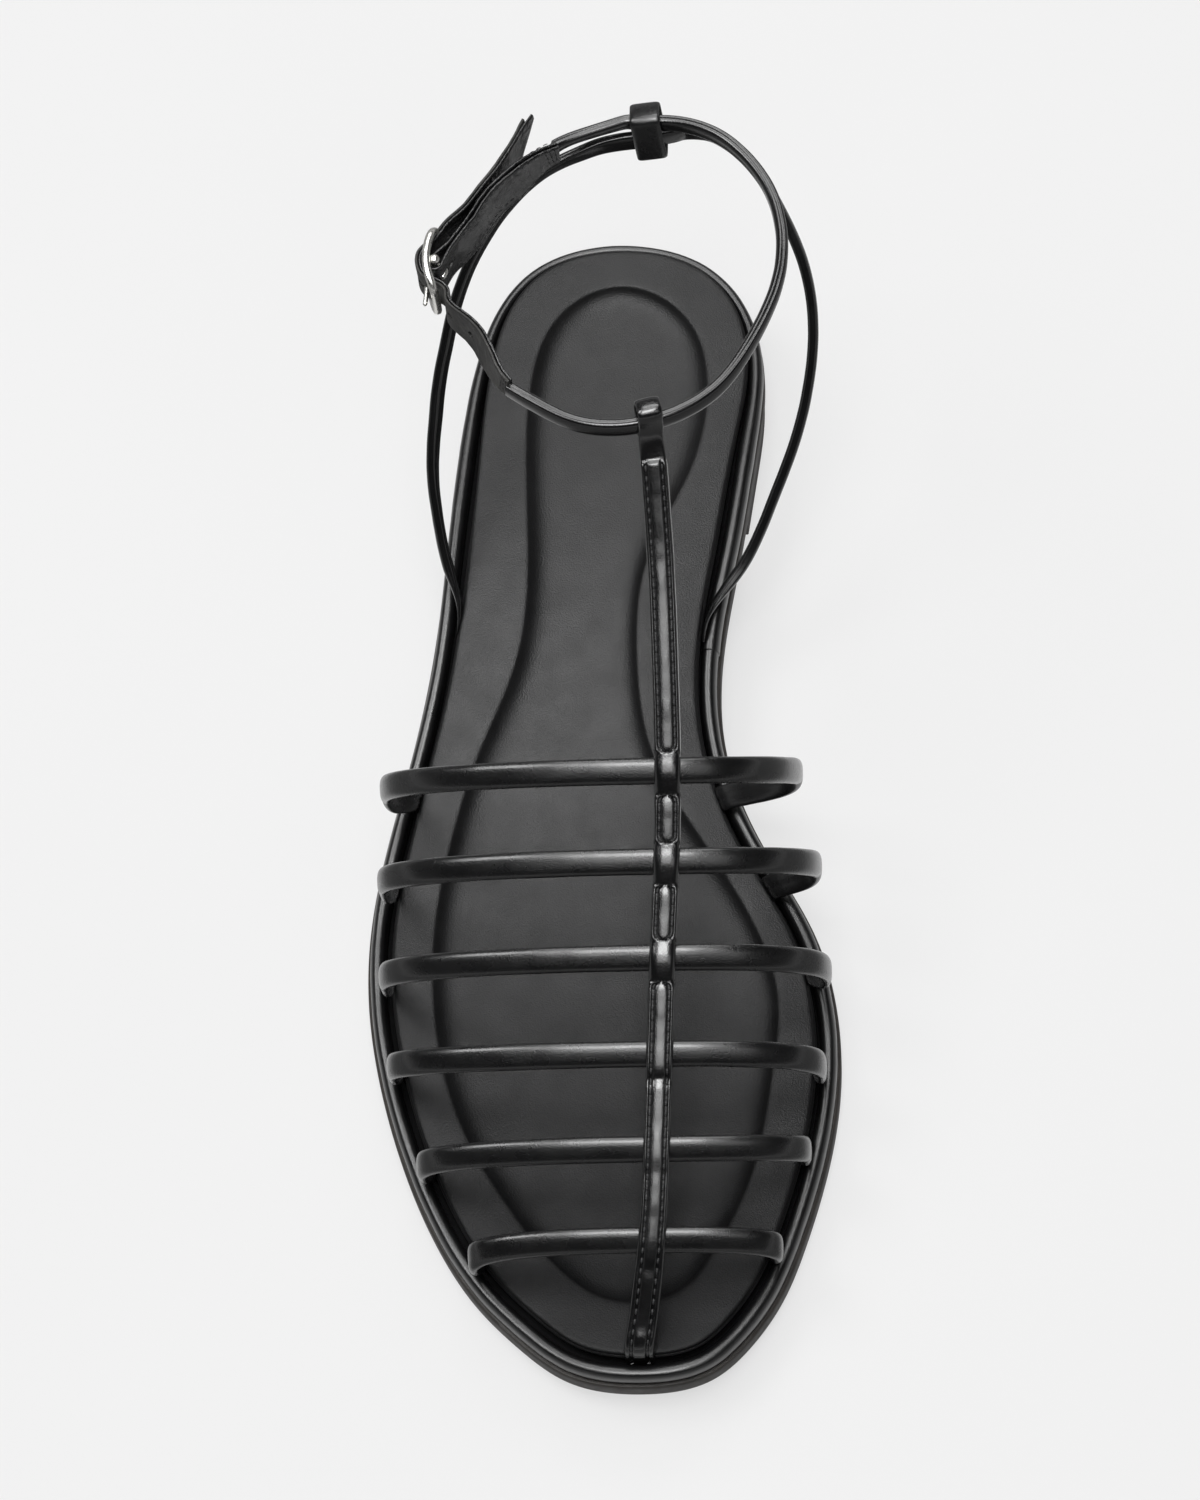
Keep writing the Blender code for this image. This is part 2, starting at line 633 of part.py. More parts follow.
def build_sling(material):
    """Rolled strap from the groove on one side, up behind the heel and down the other side."""
    low, high = SLING_SLOPE
    ends = {}
    for side, (deck_y, mouth_y) in SLING_ENDS.items():
        bottom = float(lift(deck_y)) + DECK + GAP + SLING_HEIGHT / 2.0 * high + 0.1
        top = bottom + (mouth_y - deck_y) * low / high
        deck_x = groove_place(deck_y, side)[0][0]
        mouth_x = groove_place(mouth_y, side)[0][0]
        lean = SLING_SIDE_LEAN
        ends[side] = [(deck_x, deck_y, bottom, lean), (mouth_x, mouth_y, top, lean)]
    body = even_points([ends[-1][1]] + SLING_ROUTE + [ends[1][1]], 46)
    rows = np.vstack([ends[-1][:1], body, ends[1][:1]])
    route = rows[:, :3]
    across = leaning(rows[:, 3])
    for side, places in ((-1, (0, 1)), (1, (-1, -2))):
        direction = groove_place(SLING_ENDS[side][0], side)[1]
        for place in places:
            across[place] = (-low * direction[0] / direction[1], -low, high)
    thickness = np.full(len(route), SLING_THICKNESS)
    thickness[:2] = thickness[-2:] = STRAP_TAB_THICKNESS
    thickness[2] = thickness[-3] = 1.3
    swept_solid("heel_sling", route, across, SLING_HEIGHT / 2.0, thickness / 2.0, material)


def build_keeper(material):
    depth = KEEPER_HALF_ROOM + KEEPER_THICKNESS / 2.0
    spread = KEEPER_SPREAD + SLING_HEIGHT / 2.0 + GAP + 0.1 + KEEPER_THICKNESS / 2.0
    through = (1.0, 0.0, 0.0)
    band_round("heel_keeper", KEEPER_CENTRE, depth, spread, KEEPER_TALL, through, KEEPER_WIDTH, KEEPER_THICKNESS, material)


def offset_line(line, distance):
    along = unit_rows(np.gradient(line[:, :2], axis=0))
    return line + np.column_stack([along[:, 1], -along[:, 0], 0.0 * along[:, 0]]) * distance


def upright_strip(name, line, height, thickness, material):
    return swept_solid(name, line, (0.0, 0.0, 1.0), height / 2.0, thickness / 2.0, material, SQUARE)


def build_buckle_tab(material):
    """Flat strip folded round the buckle's bar, its two layers lying side by side."""
    line = even_points(TAB_ROUTE, 14)
    spread = (TAB_LAYER + GAP) / 2.0
    fold_radius = BAR_RADIUS + GAP + TAB_LAYER / 2.0
    fold = []
    for angle in np.linspace(-30.0, -225.0, 9):
        turned = radians(angle)
        fold.append((BAR_X + fold_radius * cos(turned), BAR_Y + fold_radius * sin(turned), BUCKLE_Z))
    inner = offset_line(line, -spread)
    outer = offset_line(line, spread)
    strip = np.vstack([inner[:-1], fold, outer[:-1][::-1]])
    tab = upright_strip("buckle_tab", strip, TAB_HEIGHT, TAB_LAYER, material)
    slot_centre = np.array([BAR_X, BAR_Y - 0.2, BUCKLE_Z])
    slot = box_helper("prong_slot", slot_centre, (3.2, 3.0, PRONG_RADIUS + 0.35))
    joined(tab, [slot], "DIFFERENCE")


def box_helper(name, centre, half):
    corners = [(x, y, z) for z in (-1, 1) for x, y in ((-1, -1), (1, -1), (1, 1), (-1, 1))]
    vertices = [np.array(centre) + np.array(corner) * np.array(half) for corner in corners]
    faces = [(3, 2, 1, 0), (4, 5, 6, 7), (0, 1, 5, 4), (1, 2, 6, 5), (2, 3, 7, 6), (3, 0, 4, 7)]
    return make_solid(name, vertices, faces)


def build_tongue(material):
    """Flat holed strip that goes through the buckle and ends in a slanted point."""
    line = even_points(TONGUE_ROUTE, 44)
    tongue = upright_strip("tongue_tab", line, TAB_HEIGHT, TONGUE_THICKNESS, material)
    hole_x, hole_y = PRONG_HOLE
    slot = box_helper("prong_hole", (hole_x, hole_y, BUCKLE_Z), (2.5, 2.7, PRONG_RADIUS + 0.4))
    joined(tongue, [slot], "DIFFERENCE")


def build_buckle(material):
    loop = rounded_rectangle(FRAME_HALF_LENGTH, FRAME_HALF_HEIGHT, FRAME_CORNER, 5)
    route = []
    for along, up in loop:
        bow = FRAME_BOW * (along / FRAME_HALF_LENGTH) ** 2
        route.append((FRAME_X + bow, FRAME_MIDDLE_Y + along, BUCKLE_Z + up))
    frame = swept_solid("buckle_frame", route, (1.0, 0.0, 0.0), FRAME_WIRE, FRAME_WIRE, material, ROUND, closed=True)
    reach = FRAME_HALF_HEIGHT + 0.3
    bar_route = [(BAR_X, BAR_Y, BUCKLE_Z - reach), (BAR_X, BAR_Y, BUCKLE_Z + reach)]
    bar = swept_solid("buckle_bar", bar_route, (1.0, 0.0, 0.0), BAR_RADIUS, BAR_RADIUS, None, ROUND)
    joined(frame, [bar])


def build_prong(material):
    route = even_points([(BAR_X + x, BAR_Y + y, BUCKLE_Z) for x, y in PRONG_ROUTE], 22)
    swept_solid("buckle_prong", route, (0.0, 0.0, 1.0), PRONG_RADIUS, PRONG_RADIUS, material, ROUND)


def main():
    for old in list(bpy.data.objects):
        bpy.data.objects.remove(old, do_unlink=True)
    build_outsole(make_material("outsole_rubber", RUBBER, 0.55))
    build_heel(make_material("heel_rubber", RUBBER, 0.6))
    build_platform(make_material("platform_leather", LEATHER, 0.35))
    build_footbed(make_material("footbed_leather", LEATHER, 0.5))
    build_upper(make_material("upper_leather", GLOSS, 0.28))
    build_ankle_strap(make_material("ankle_leather", GLOSS, 0.3))
    build_sling(make_material("sling_leather", GLOSS, 0.3))
    build_keeper(make_material("keeper_leather", GLOSS, 0.3))
    build_buckle_tab(make_material("tab_leather", GLOSS, 0.35))
    build_tongue(make_material("tongue_leather", GLOSS, 0.35))
    build_buckle(make_material("buckle_metal", SILVER, 0.15, 1.0))
    build_prong(make_material("prong_metal", SILVER, 0.15, 1.0))


main()
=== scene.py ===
"""Looks of the caged fisherman sandal: the finished surface of every part of the right shoe.

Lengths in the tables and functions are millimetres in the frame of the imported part: the toe
points to -Y, the medial side of the foot is +X and the floor is Z = 0.
"""
from math import cos, pi, radians, sin, tan

import bmesh
import bpy
import numpy as np
from mathutils import Matrix, Vector, noise


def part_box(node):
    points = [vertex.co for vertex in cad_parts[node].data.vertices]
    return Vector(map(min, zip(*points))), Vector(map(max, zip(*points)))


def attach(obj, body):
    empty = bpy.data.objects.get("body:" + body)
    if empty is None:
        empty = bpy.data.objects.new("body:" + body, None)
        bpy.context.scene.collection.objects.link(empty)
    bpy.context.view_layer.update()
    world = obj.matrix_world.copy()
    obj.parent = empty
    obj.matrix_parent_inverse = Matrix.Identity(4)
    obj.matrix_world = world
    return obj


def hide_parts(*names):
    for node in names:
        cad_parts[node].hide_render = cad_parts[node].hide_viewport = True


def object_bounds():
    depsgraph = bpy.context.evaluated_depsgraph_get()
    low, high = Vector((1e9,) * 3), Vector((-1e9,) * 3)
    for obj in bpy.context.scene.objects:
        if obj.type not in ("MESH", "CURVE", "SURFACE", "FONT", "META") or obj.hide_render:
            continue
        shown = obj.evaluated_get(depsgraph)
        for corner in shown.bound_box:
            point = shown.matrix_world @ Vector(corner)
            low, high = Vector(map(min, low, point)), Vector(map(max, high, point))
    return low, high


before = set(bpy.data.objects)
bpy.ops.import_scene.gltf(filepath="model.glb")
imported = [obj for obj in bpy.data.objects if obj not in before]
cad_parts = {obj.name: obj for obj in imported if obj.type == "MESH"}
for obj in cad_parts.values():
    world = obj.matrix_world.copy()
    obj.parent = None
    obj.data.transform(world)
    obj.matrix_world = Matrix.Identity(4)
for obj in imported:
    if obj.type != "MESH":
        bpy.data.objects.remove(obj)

CAD_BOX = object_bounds()
MM = 0.001
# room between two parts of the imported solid
GAP = 0.3
# how far the box of a finished piece may lie from the box of its solid
FIT = 1.6

# ---- how far the sole is lifted off the floor along its length
TOE_SPRING = 5.0
TOE_BREAK_Y = -85.5
TOE_RUN = 42.0
HEEL_LIFT = 9.5
SHANK_FRONT_Y = -32.5
SHANK_BACK_Y = 72.5
HEEL_BREAST_Y = 66.5

# ---- layers, measured up from the underside of the sole
OUTSOLE_TOP = 6.0
PLATFORM_BOTTOM = OUTSOLE_TOP + GAP
ROLL_TOP = 10.9
DECK = 7.7
FOOTBED_BOTTOM = DECK + GAP

# ---- plan of the sole edge and of the sunken centre of the footbed
# columns: edge y, edge lateral x, edge medial x, recess y, recess lateral x, recess medial x
SOLE_SECTIONS = [
    (-124.0, -7.4, 22.4, -108.5, 0.0, 14.0),
    (-117.0, -16.9, 30.2, -105.0, -5.4, 18.8),
    (-107.0, -26.5, 36.9, -98.0, -12.2, 23.4),
    (-95.0, -34.2, 41.8, -88.0, -19.4, 28.7),
    (-80.0, -40.9, 46.4, -75.0, -27.0, 32.8),
    (-62.0, -46.3, 49.5, -60.0, -32.3, 35.4),
    (-45.0, -49.2, 49.0, -45.0, -34.6, 36.6),
    (-28.0, -49.4, 44.5, -28.0, -34.6, 31.6),
    (-10.0, -46.5, 34.8, -10.0, -31.5, 21.2),
    (10.0, -41.3, 27.0, 10.0, -25.4, 10.6),
    (30.0, -36.8, 25.8, 30.0, -17.4, 7.8),
    (55.0, -33.4, 30.0, 52.0, -14.8, 10.2),
    (80.0, -30.6, 34.2, 72.0, -15.2, 19.4),
    (100.0, -27.2, 35.8, 92.0, -14.5, 23.4),
    (114.0, -22.2, 31.7, 106.0, -10.8, 20.6),
    (123.0, -14.6, 23.6, 113.5, -4.4, 14.0),
]
EDGE_TOE = (8.0, -127.0)
EDGE_HEEL = (4.5, 128.6)
RECESS_TOE = (7.1, -109.8)
RECESS_HEEL = (4.9, 116.6)
EDGE_STEPS = 12

# ---- widths across the edge of the sole, each followed by what it loses towards the heel
LIP_WIDTH, LIP_LOSS = 0.8, 0.6
ROLL_WIDTH, ROLL_LOSS = 3.5, 1.2
BED_INSET, BED_INSET_LOSS = 6.0, 2.4

# ---- straps over the foot
STRAP_WIDTH = 5.4
STRAP_THICKNESS = 2.6
STRAP_TAB_THICKNESS = 0.7
STRAP_STRAIGHT = 0.5
STRAP_ROUNDNESS = 0.80
T_STRAP_WIDTH = 5.5
T_STRAP_THICKNESS = 2.4
T_STRAP_RISE = 0.6
# columns: crown x, crown y, crown z, then for each side base y, widest y, widest x, widest z
CROSS_STRAPS = {
    "strap_1": (13.0, -13.8, 64.0, (0.5, -5.2, -43.2, 34.0), (-1.0, -2.0, 41.8, 32.0)),
    "strap_2": (13.0, -30.2, 56.0, (-18.0, -24.6, -43.8, 31.0), (-20.6, -21.6, 45.4, 29.0)),
    "strap_3": (12.0, -48.2, 49.0, (-38.4, -44.0, -43.6, 27.0), (-39.0, -43.6, 47.0, 26.0)),
    "strap_4": (11.0, -66.2, 42.0, (-58.0, -62.3, -42.0, 24.0), (-59.5, -63.7, 45.6, 24.0)),
    "strap_5": (10.0, -84.3, 36.0, (-79.6, -83.1, -35.8, 22.0), (-77.6, -80.6, 42.2, 22.0)),
    "strap_6": (9.0, -101.3, 29.5, (-99.8, -102.5, -25.2, 21.0), (-98.2, -101.0, 36.1, 21.0)),
}
# columns: x, y, z of the middle of the T-strap, toe first
T_STRAP_ROUTE = [
    (8.6, -117.8, 20.2),
    (9.9, -110.5, 24.4),
    (11.2, -101.8, 29.3),
    (12.6, -84.8, 36.4),
    (13.6, -66.8, 42.6),
    (14.6, -48.8, 49.7),
    (15.8, -31.4, 56.8),
    (16.5, -15.0, 64.8),
    (16.5, 7.0, 75.2),
    (16.2, 22.9, 82.5),
    (15.6, 36.0, 90.2),
    (15.15, 42.4, 94.7),
    (15.0, 44.5, 96.9),
]

# ---- straps round the ankle and behind the heel
ANKLE_HEIGHT = 3.6
ANKLE_THICKNESS = 2.5
SLING_HEIGHT = 4.2
SLING_THICKNESS = 2.0
RING_FRONT = (14.7, 47.3, 98.0)
RING_FRONT_TURN = 13.0
RING_FRONT_LEAN = 20.0
TOP_LOOP_SLACK = 1.2
# columns: x, y, z of the middle of the rolled ankle strap from the lateral front round the heel,
# then how many degrees its top leans towards the heel
ANKLE_ROUTE = [
    (-13.4, 56.1, 97.0, 8.0),
    (-7.1, 51.6, 97.5, 14.0),
    (0.4, 47.5, 98.0, 18.0),
    (8.0, 46.4, 98.0, 20.0),
    (*RING_FRONT, RING_FRONT_LEAN),
    (21.1, 49.7, 97.7, 20.0),
    (28.0, 54.8, 97.0, 18.0),
    (33.4, 62.3, 96.4, 12.0),
    (37.7, 71.0, 95.6, 4.0),
    (40.8, 80.5, 94.6, 0.0),
    (41.6, 89.4, 93.8, 0.0),
    (39.6, 100.4, 92.8, 0.0),
    (34.8, 109.0, 92.0, 4.0),
    (28.2, 115.4, 91.3, 8.0),
    (20.9, 118.4, 90.8, 10.0),
    (14.0, 119.2, 90.5, 6.0),
    (5.8, 118.3, 90.6, -14.0),
    (-1.0, 115.9, 90.9, -18.0),
    (-4.8, 113.7, 91.3, -10.0),
]
# columns: x, y, z of the middle of the heel sling from the lateral side to the medial side,
# then how many degrees its top edge leans towards the heel
SLING_ROUTE = [
    (-31.8, 49.0, 25.8, -41.0),
    (-33.6, 58.0, 33.7, -41.0),
    (-34.1, 64.0, 38.9, -41.0),
    (-33.8, 70.0, 44.2, -41.0),
    (-32.9, 75.6, 49.0, -41.0),
    (-31.6, 81.3, 54.0, -41.0),
    (-29.4, 87.2, 59.2, -41.0),
    (-26.3, 94.0, 65.1, -40.0),
    (-21.8, 100.8, 71.0, -37.0),
    (-15.0, 107.9, 77.3, -28.0),
    (-8.0, 112.6, 81.4, -16.0),
    (1.1, 116.1, 84.6, 4.0),
    (8.0, 117.5, 85.6, 16.0),
    (14.2, 118.0, 86.0, 20.0),
    (17.8, 118.6, 85.9, 18.0),
    (21.5, 119.5, 85.5, 6.0),
    (25.8, 119.3, 84.9, -8.0),
    (29.9, 117.5, 84.0, -20.0),
    (33.9, 114.5, 82.5, -28.0),
    (38.0, 110.3, 79.3, -35.0),
    (41.7, 104.9, 74.6, -39.0),
    (44.6, 99.6, 70.0, -41.0),
    (46.6, 93.5, 64.6, -41.0),
    (47.2, 86.5, 58.4, -41.0),
    (46.2, 79.2, 51.5, -41.0),
    (43.5, 70.6, 43.8, -41.0),
    (37.3, 58.4, 33.0, -41.0),
    (30.5, 47.7, 24.6, -41.0),
]
# columns: y where an end meets the deck, y where it leaves the groove
SLING_ENDS = {-1: (38.0, 41.6), 1: (35.0, 38.2)}
SLING_SLOPE = (0.66, 0.75)
# how far out of the groove's middle an end goes in, squeezed against the roll
SLING_MOUTH_OUT = {-1: 0.0, 1: 1.3}
# columns: distance from an end, thickness
SLING_TAPER = [(0.0, STRAP_TAB_THICKNESS), (5.0, 0.8), (9.0, 1.4), (14.0, SLING_THICKNESS + 0.25)]
SLING_SIDE_LEAN = -41.0
SLING_TURN = 0.40
# x, y, z shifts of the sling's lateral side: high up, and lower down
SLING_SINK = (-0.4, 0.4, 0.0)
SLING_TUCK = (0.35, 0.0, 0.0)
KEEPER_TALL = (-0.12, 0.34, 0.93)
KEEPER_CENTRE = (14.4, 118.4, 88.2)
KEEPER_SPREAD = 2.35
KEEPER_HALF_ROOM = 2.35
KEEPER_WIDTH = 6.2
KEEPER_THICKNESS = 1.0

# ---- flat ends of the ankle strap and their buckle
TAB_HEIGHT = 9.2
TAB_LAYER = 0.7
TONGUE_THICKNESS = 1.3
BUCKLE_Z = 93.2
BAR_X, BAR_Y = -28.6, 84.6
BAR_RADIUS = 0.8
FRAME_MIDDLE_Y = 84.9
FRAME_HALF_LENGTH = 6.9
FRAME_HALF_HEIGHT = 6.3
FRAME_CORNER = 3.0
FRAME_WIRE = 0.85
FRAME_X = -30.2
FRAME_BOW = 1.6
PRONG_RADIUS = 0.6
PRONG_HOLE = (-30.7, 82.3)
# columns: x, y, z of the middle line, from the joint with the rolled strap to the bar
TAB_ROUTE = [
    (-5.7, 113.1, 92.0),
    (-8.9, 111.1, 92.5),
    (-13.4, 107.3, 93.0),
    (-17.9, 102.4, BUCKLE_Z),
    (-20.2, 99.1, BUCKLE_Z),
    (-22.1, 95.2, BUCKLE_Z),
    (-24.0, 91.2, BUCKLE_Z),
    (-26.3, 87.8, BUCKLE_Z),
]
# columns: x, y, z of the middle line, from the joint with the rolled strap to the free end
TONGUE_ROUTE = [
    (-13.2, 55.9, 96.6),
    (-17.6, 62.2, 95.6),
    (-20.6, 68.1, 94.8),
    (-23.9, 72.6, 94.0),
    (-26.2, 76.2, 93.5),
    (-26.4, 78.8, BUCKLE_Z),
    (-28.6, 80.7, BUCKLE_Z),
    (-30.9, 82.0, BUCKLE_Z),
    (-32.0, 84.6, BUCKLE_Z),
    (-31.6, 87.2, BUCKLE_Z),
    (-30.2, 88.9, BUCKLE_Z),
    (-28.4, 90.9, BUCKLE_Z),
    (-26.8, 93.3, BUCKLE_Z),
    (-24.2, 97.0, BUCKLE_Z),
    (-20.6, 102.2, BUCKLE_Z),
    (-16.6, 107.8, BUCKLE_Z),
    (-13.1, 113.0, BUCKLE_Z),
    (-9.9, 118.8, BUCKLE_Z),
]
# columns: x, y from the middle of the bar, from the open end of the hook to the tip
PRONG_ROUTE = [
    (0.9, -1.45),
    (1.7, 0.0),
    (1.2, 1.2),
    (0.0, 1.7),
    (-1.2, 1.2),
    (-1.7, 0.1),
    (-1.8, -2.0),
    (-2.0, -5.0),
    (-2.35, -7.6),
]


# ---------------------------------------------------------------- curves

def smooth_step(start, end, value):
    t = np.clip((np.asarray(value, float) - start) / (end - start), 0.0, 1.0)
    return t * t * (3.0 - 2.0 * t)


def lift(y):
    """Height of the underside of the sole above the floor."""
    spring = TOE_SPRING * np.clip((TOE_BREAK_Y - np.asarray(y, float)) / TOE_RUN, 0.0, 1.0) ** 2
    return spring + HEEL_LIFT * smooth_step(SHANK_FRONT_Y, SHANK_BACK_Y, y)


def spline(points, closed):
    """Cubic spline through the points: returns its knots and an evaluator."""
    points = np.asarray(points, float)
    knots = np.vstack([points, points[:1]]) if closed else points
    steps = np.linalg.norm(np.diff(knots, axis=0), axis=1)
    t = np.concatenate([[0.0], np.cumsum(steps)])
    count = len(knots)
    matrix = np.zeros((count, count))
    right = np.zeros((count, knots.shape[1]))
    for i in range(1, count - 1):
        matrix[i, i - 1:i + 2] = steps[i - 1], 2.0 * (steps[i - 1] + steps[i]), steps[i]
        right[i] = 6.0 * ((knots[i + 1] - knots[i]) / steps[i] - (knots[i] - knots[i - 1]) / steps[i - 1])
    if closed:
        matrix[0, 0], matrix[0, -1] = 1.0, -1.0
        matrix[-1, 0], matrix[-1, 1] = 2.0 * steps[0], steps[0]
        matrix[-1, -2], matrix[-1, -1] = steps[-1], 2.0 * steps[-1]
        right[-1] = 6.0 * ((knots[1] - knots[0]) / steps[0] - (knots[-1] - knots[-2]) / steps[-1])
    else:
        matrix[0, 0] = matrix[-1, -1] = 1.0
    bend = np.linalg.solve(matrix, right)

    def at(values):
        values = np.asarray(values, float)
        k = np.clip(np.searchsorted(t, values, side="right") - 1, 0, count - 2)
        h = steps[k][:, None]
        a = (t[k + 1] - values)[:, None] / h
        b = (values - t[k])[:, None] / h
        curve = (a ** 3 - a) * bend[k] + (b ** 3 - b) * bend[k + 1]
        return a * knots[k] + b * knots[k + 1] + curve * h ** 2 / 6.0

    return t, at


def even_points(points, count):
    """Points at equal distances along an open spline."""
    t, at = spline(points, closed=False)
    fine = np.linspace(0.0, t[-1], 4000)
    lengths = np.linalg.norm(np.diff(at(fine)[:, :3], axis=0), axis=1)
    travelled = np.concatenate([[0.0], np.cumsum(lengths)])
    return at(np.interp(np.linspace(0.0, travelled[-1], count), travelled, fine))


def travelled(route):
    """Distance along a route at each of its points."""
    return np.concatenate([[0.0], np.cumsum(np.linalg.norm(np.diff(route[:, :3], axis=0), axis=1))])


def columns_at(at, length, columns):
    """Every column read at a distance, or at several, along a route."""
    return np.stack([np.interp(at, length, column) for column in columns.T], axis=-1)


def from_table(table, at):
    """Second column of a table read at values of its first."""
    first, second = zip(*table)
    return np.interp(at, first, second)


def resampled(columns, spacing):
    """The same route at even distances; the first three columns are x, y and z."""
    length = travelled(columns)
    at = np.linspace(0.0, length[-1], int(round(length[-1] / spacing)) + 1)
    return columns_at(at, length, columns)


def unit_rows(vectors):
    return vectors / np.linalg.norm(vectors, axis=-1)[..., None]


def soft_noise(points, size, seed):
    """Smooth noise between -1 and 1 at each point, its features about size across."""
    shift = Vector((3.7 * seed, -2.1 * seed, 1.3 * seed))
    return np.array([noise.noise(Vector(p) / size + shift) for p in np.asarray(points, float)])


# ---------------------------------------------------------------- plan of the sole

def plan_curve(toe, heel, y_column, lateral_column, medial_column):
    """Closed plan spline: toe tip, medial side, heel tip, lateral side."""
    medial = [(row[medial_column], row[y_column]) for row in SOLE_SECTIONS]
    lateral = [(row[lateral_column], row[y_column]) for row in reversed(SOLE_SECTIONS)]
    return spline([toe] + medial + [heel] + lateral, closed=True)


def plan_loop(curve, steps, extra=()):
    t, at = curve
    values = [start + (end - start) * k / steps for start, end in zip(t[:-1], t[1:]) for k in range(steps)]
    return at(np.sort(np.array(values + list(extra))))


def outward(loop):
    """Unit outward normals of a closed plan curve that runs anticlockwise."""
    along = np.roll(loop, -1, axis=0) - np.roll(loop, 1, axis=0)
    along /= np.linalg.norm(along, axis=1)[:, None]
    return np.column_stack([along[:, 1], -along[:, 0]])


def lip(y):
    """How far the outsole stands out past the padded roll."""
    return LIP_WIDTH - LIP_LOSS * smooth_step(20.0, 70.0, y)


def roll_width(y):
    return ROLL_WIDTH - ROLL_LOSS * smooth_step(60.0, 125.0, y)


def footbed_inset(y, normal_x):
    """Distance from the sole edge in to the footbed edge, a little more on the lateral side."""
    return BED_INSET - BED_INSET_LOSS * smooth_step(60.0, 125.0, y) - 0.3 * normal_x


EDGE_CURVE = plan_curve(EDGE_TOE, EDGE_HEEL, 0, 1, 2)
RECESS_CURVE = plan_curve(RECESS_TOE, RECESS_HEEL, 3, 4, 5)
WRAP_SEAM_Y = 32.0
# swelling of the roll behind the wrap's seam, shared by width and height, and the length it fades over
WRAP_STEP = 0.42
WRAP_STEP_FADE = 16.0
# distance along the edge spline to where the wrap's seam crosses it on the medial side
SEAM_STATION = float(np.interp(WRAP_SEAM_Y, [row[0] for row in SOLE_SECTIONS], EDGE_CURVE[0][1:17]))
SEAM_EXTRA = [SEAM_STATION + step for step in (-0.3, -0.12, 0.0, 0.12, 0.3)]

EDGE = plan_loop(EDGE_CURVE, EDGE_STEPS, SEAM_EXTRA)
EDGE_NORMAL = outward(EDGE)
RECESS = plan_loop(RECESS_CURVE, EDGE_STEPS, SEAM_EXTRA)
RECESS_NORMAL = outward(RECESS)
EDGE_LENGTH = np.concatenate([[0.0], np.cumsum(np.linalg.norm(np.diff(EDGE, axis=0), axis=1))])
LIP = lip(EDGE[:, 1])
ROLL = roll_width(EDGE[:, 1])
BED = footbed_inset(EDGE[:, 1], EDGE_NORMAL[:, 0])


def raised(plan, height):
    """Plan points lifted to a height above the underside of the sole."""
    return np.column_stack([plan, lift(plan[:, 1]) + height])


def inset_loop(distance, height):
    return raised(EDGE - EDGE_NORMAL * np.broadcast_to(distance, len(EDGE))[:, None], height)


def recess_loop(distance, height):
    return raised(RECESS - RECESS_NORMAL * distance, height)


# ---------------------------------------------------------------- meshes

def make_mesh(name, points, faces, material, sharp_angle=60.0):
    """One object from points in millimetres, its normals outward and its shading smooth."""
    mesh = bpy.data.meshes.new(name)
    mesh.from_pydata((np.asarray(points, float) * MM).tolist(), [], faces)
    body = bmesh.new()
    body.from_mesh(mesh)
    bmesh.ops.recalc_face_normals(body, faces=body.faces)
    body.to_mesh(mesh)
    body.free()
    mesh.shade_smooth()
    mesh.set_sharp_from_angle(angle=radians(sharp_angle))
    piece = bpy.data.objects.new(name, mesh)
    bpy.context.collection.objects.link(piece)
    if material is None:
        piece.hide_render = True
    else:
        mesh.materials.append(material)
    return piece


def strip_faces(rows, columns, closed_rows=False, first=0):
    """Quads between rows of points whose columns run round in a ring."""
    faces = []
    for k in range(rows if closed_rows else rows - 1):
        low = first + k * columns
        high = first + ((k + 1) % rows) * columns
        for i in range(columns):
            j = (i + 1) % columns
            faces.append((low + i, low + j, high + j, high + i))
    return faces


def skin(name, rows, material, closed=False):
    """Closed surface over rows of ring points; open ends are closed with a fan."""
    rows = np.asarray(rows, float)
    count, size = rows.shape[:2]
    points = rows.reshape(-1, 3)
    faces = strip_faces(count, size, closed)
    if not closed:
        middles = np.array([rows[0].mean(axis=0), rows[-1].mean(axis=0)])
        points = np.vstack([points, middles])
        for centre, base in ((count * size, 0), (count * size + 1, (count - 1) * size)):
            faces += [(base + i, base + (i + 1) % size, centre) for i in range(size)]
    return make_mesh(name, points, faces, material)


def stack(name, loops, material, sharp_angle=60.0):
    """Solid between plan loops, bottom first, its two ends closed from side to side."""
    size = len(loops[0])
    half = size // 2
    faces = strip_faces(len(loops), size)
    for base in (0, (len(loops) - 1) * size):
        faces.append((base, base + 1, base + size - 1))
        if size % 2 == 0:
            faces.append((base + half - 1, base + half, base + half + 1))
            last = half - 1
        else:
            last = half
        for i in range(1, last):
            faces.append((base + i, base + i + 1, base + size - i - 1, base + size - i))
    return make_mesh(name, np.vstack(loops), faces, material, sharp_angle)


def frames(route, across, closed=False):
    """Unit directions at each station of a route: along it, across its width, out of its face."""
    if closed:
        along = unit_rows(np.roll(route, -1, axis=0) - np.roll(route, 1, axis=0))
    else:
        along = unit_rows(np.gradient(route, axis=0))
    across = np.broadcast_to(np.asarray(across, float), route.shape)
    across = unit_rows(across - along * np.sum(across * along, axis=1)[:, None])
    return along, across, np.cross(along, across)


def swept(route, across, widths, depths, closed=False):
    """Rows of ring points; widths and depths hold one value for each station and ring point."""
    _, across, out = frames(route, across, closed)
    return route[:, None] + across[:, None] * widths[..., None] + out[:, None] * depths[..., None]


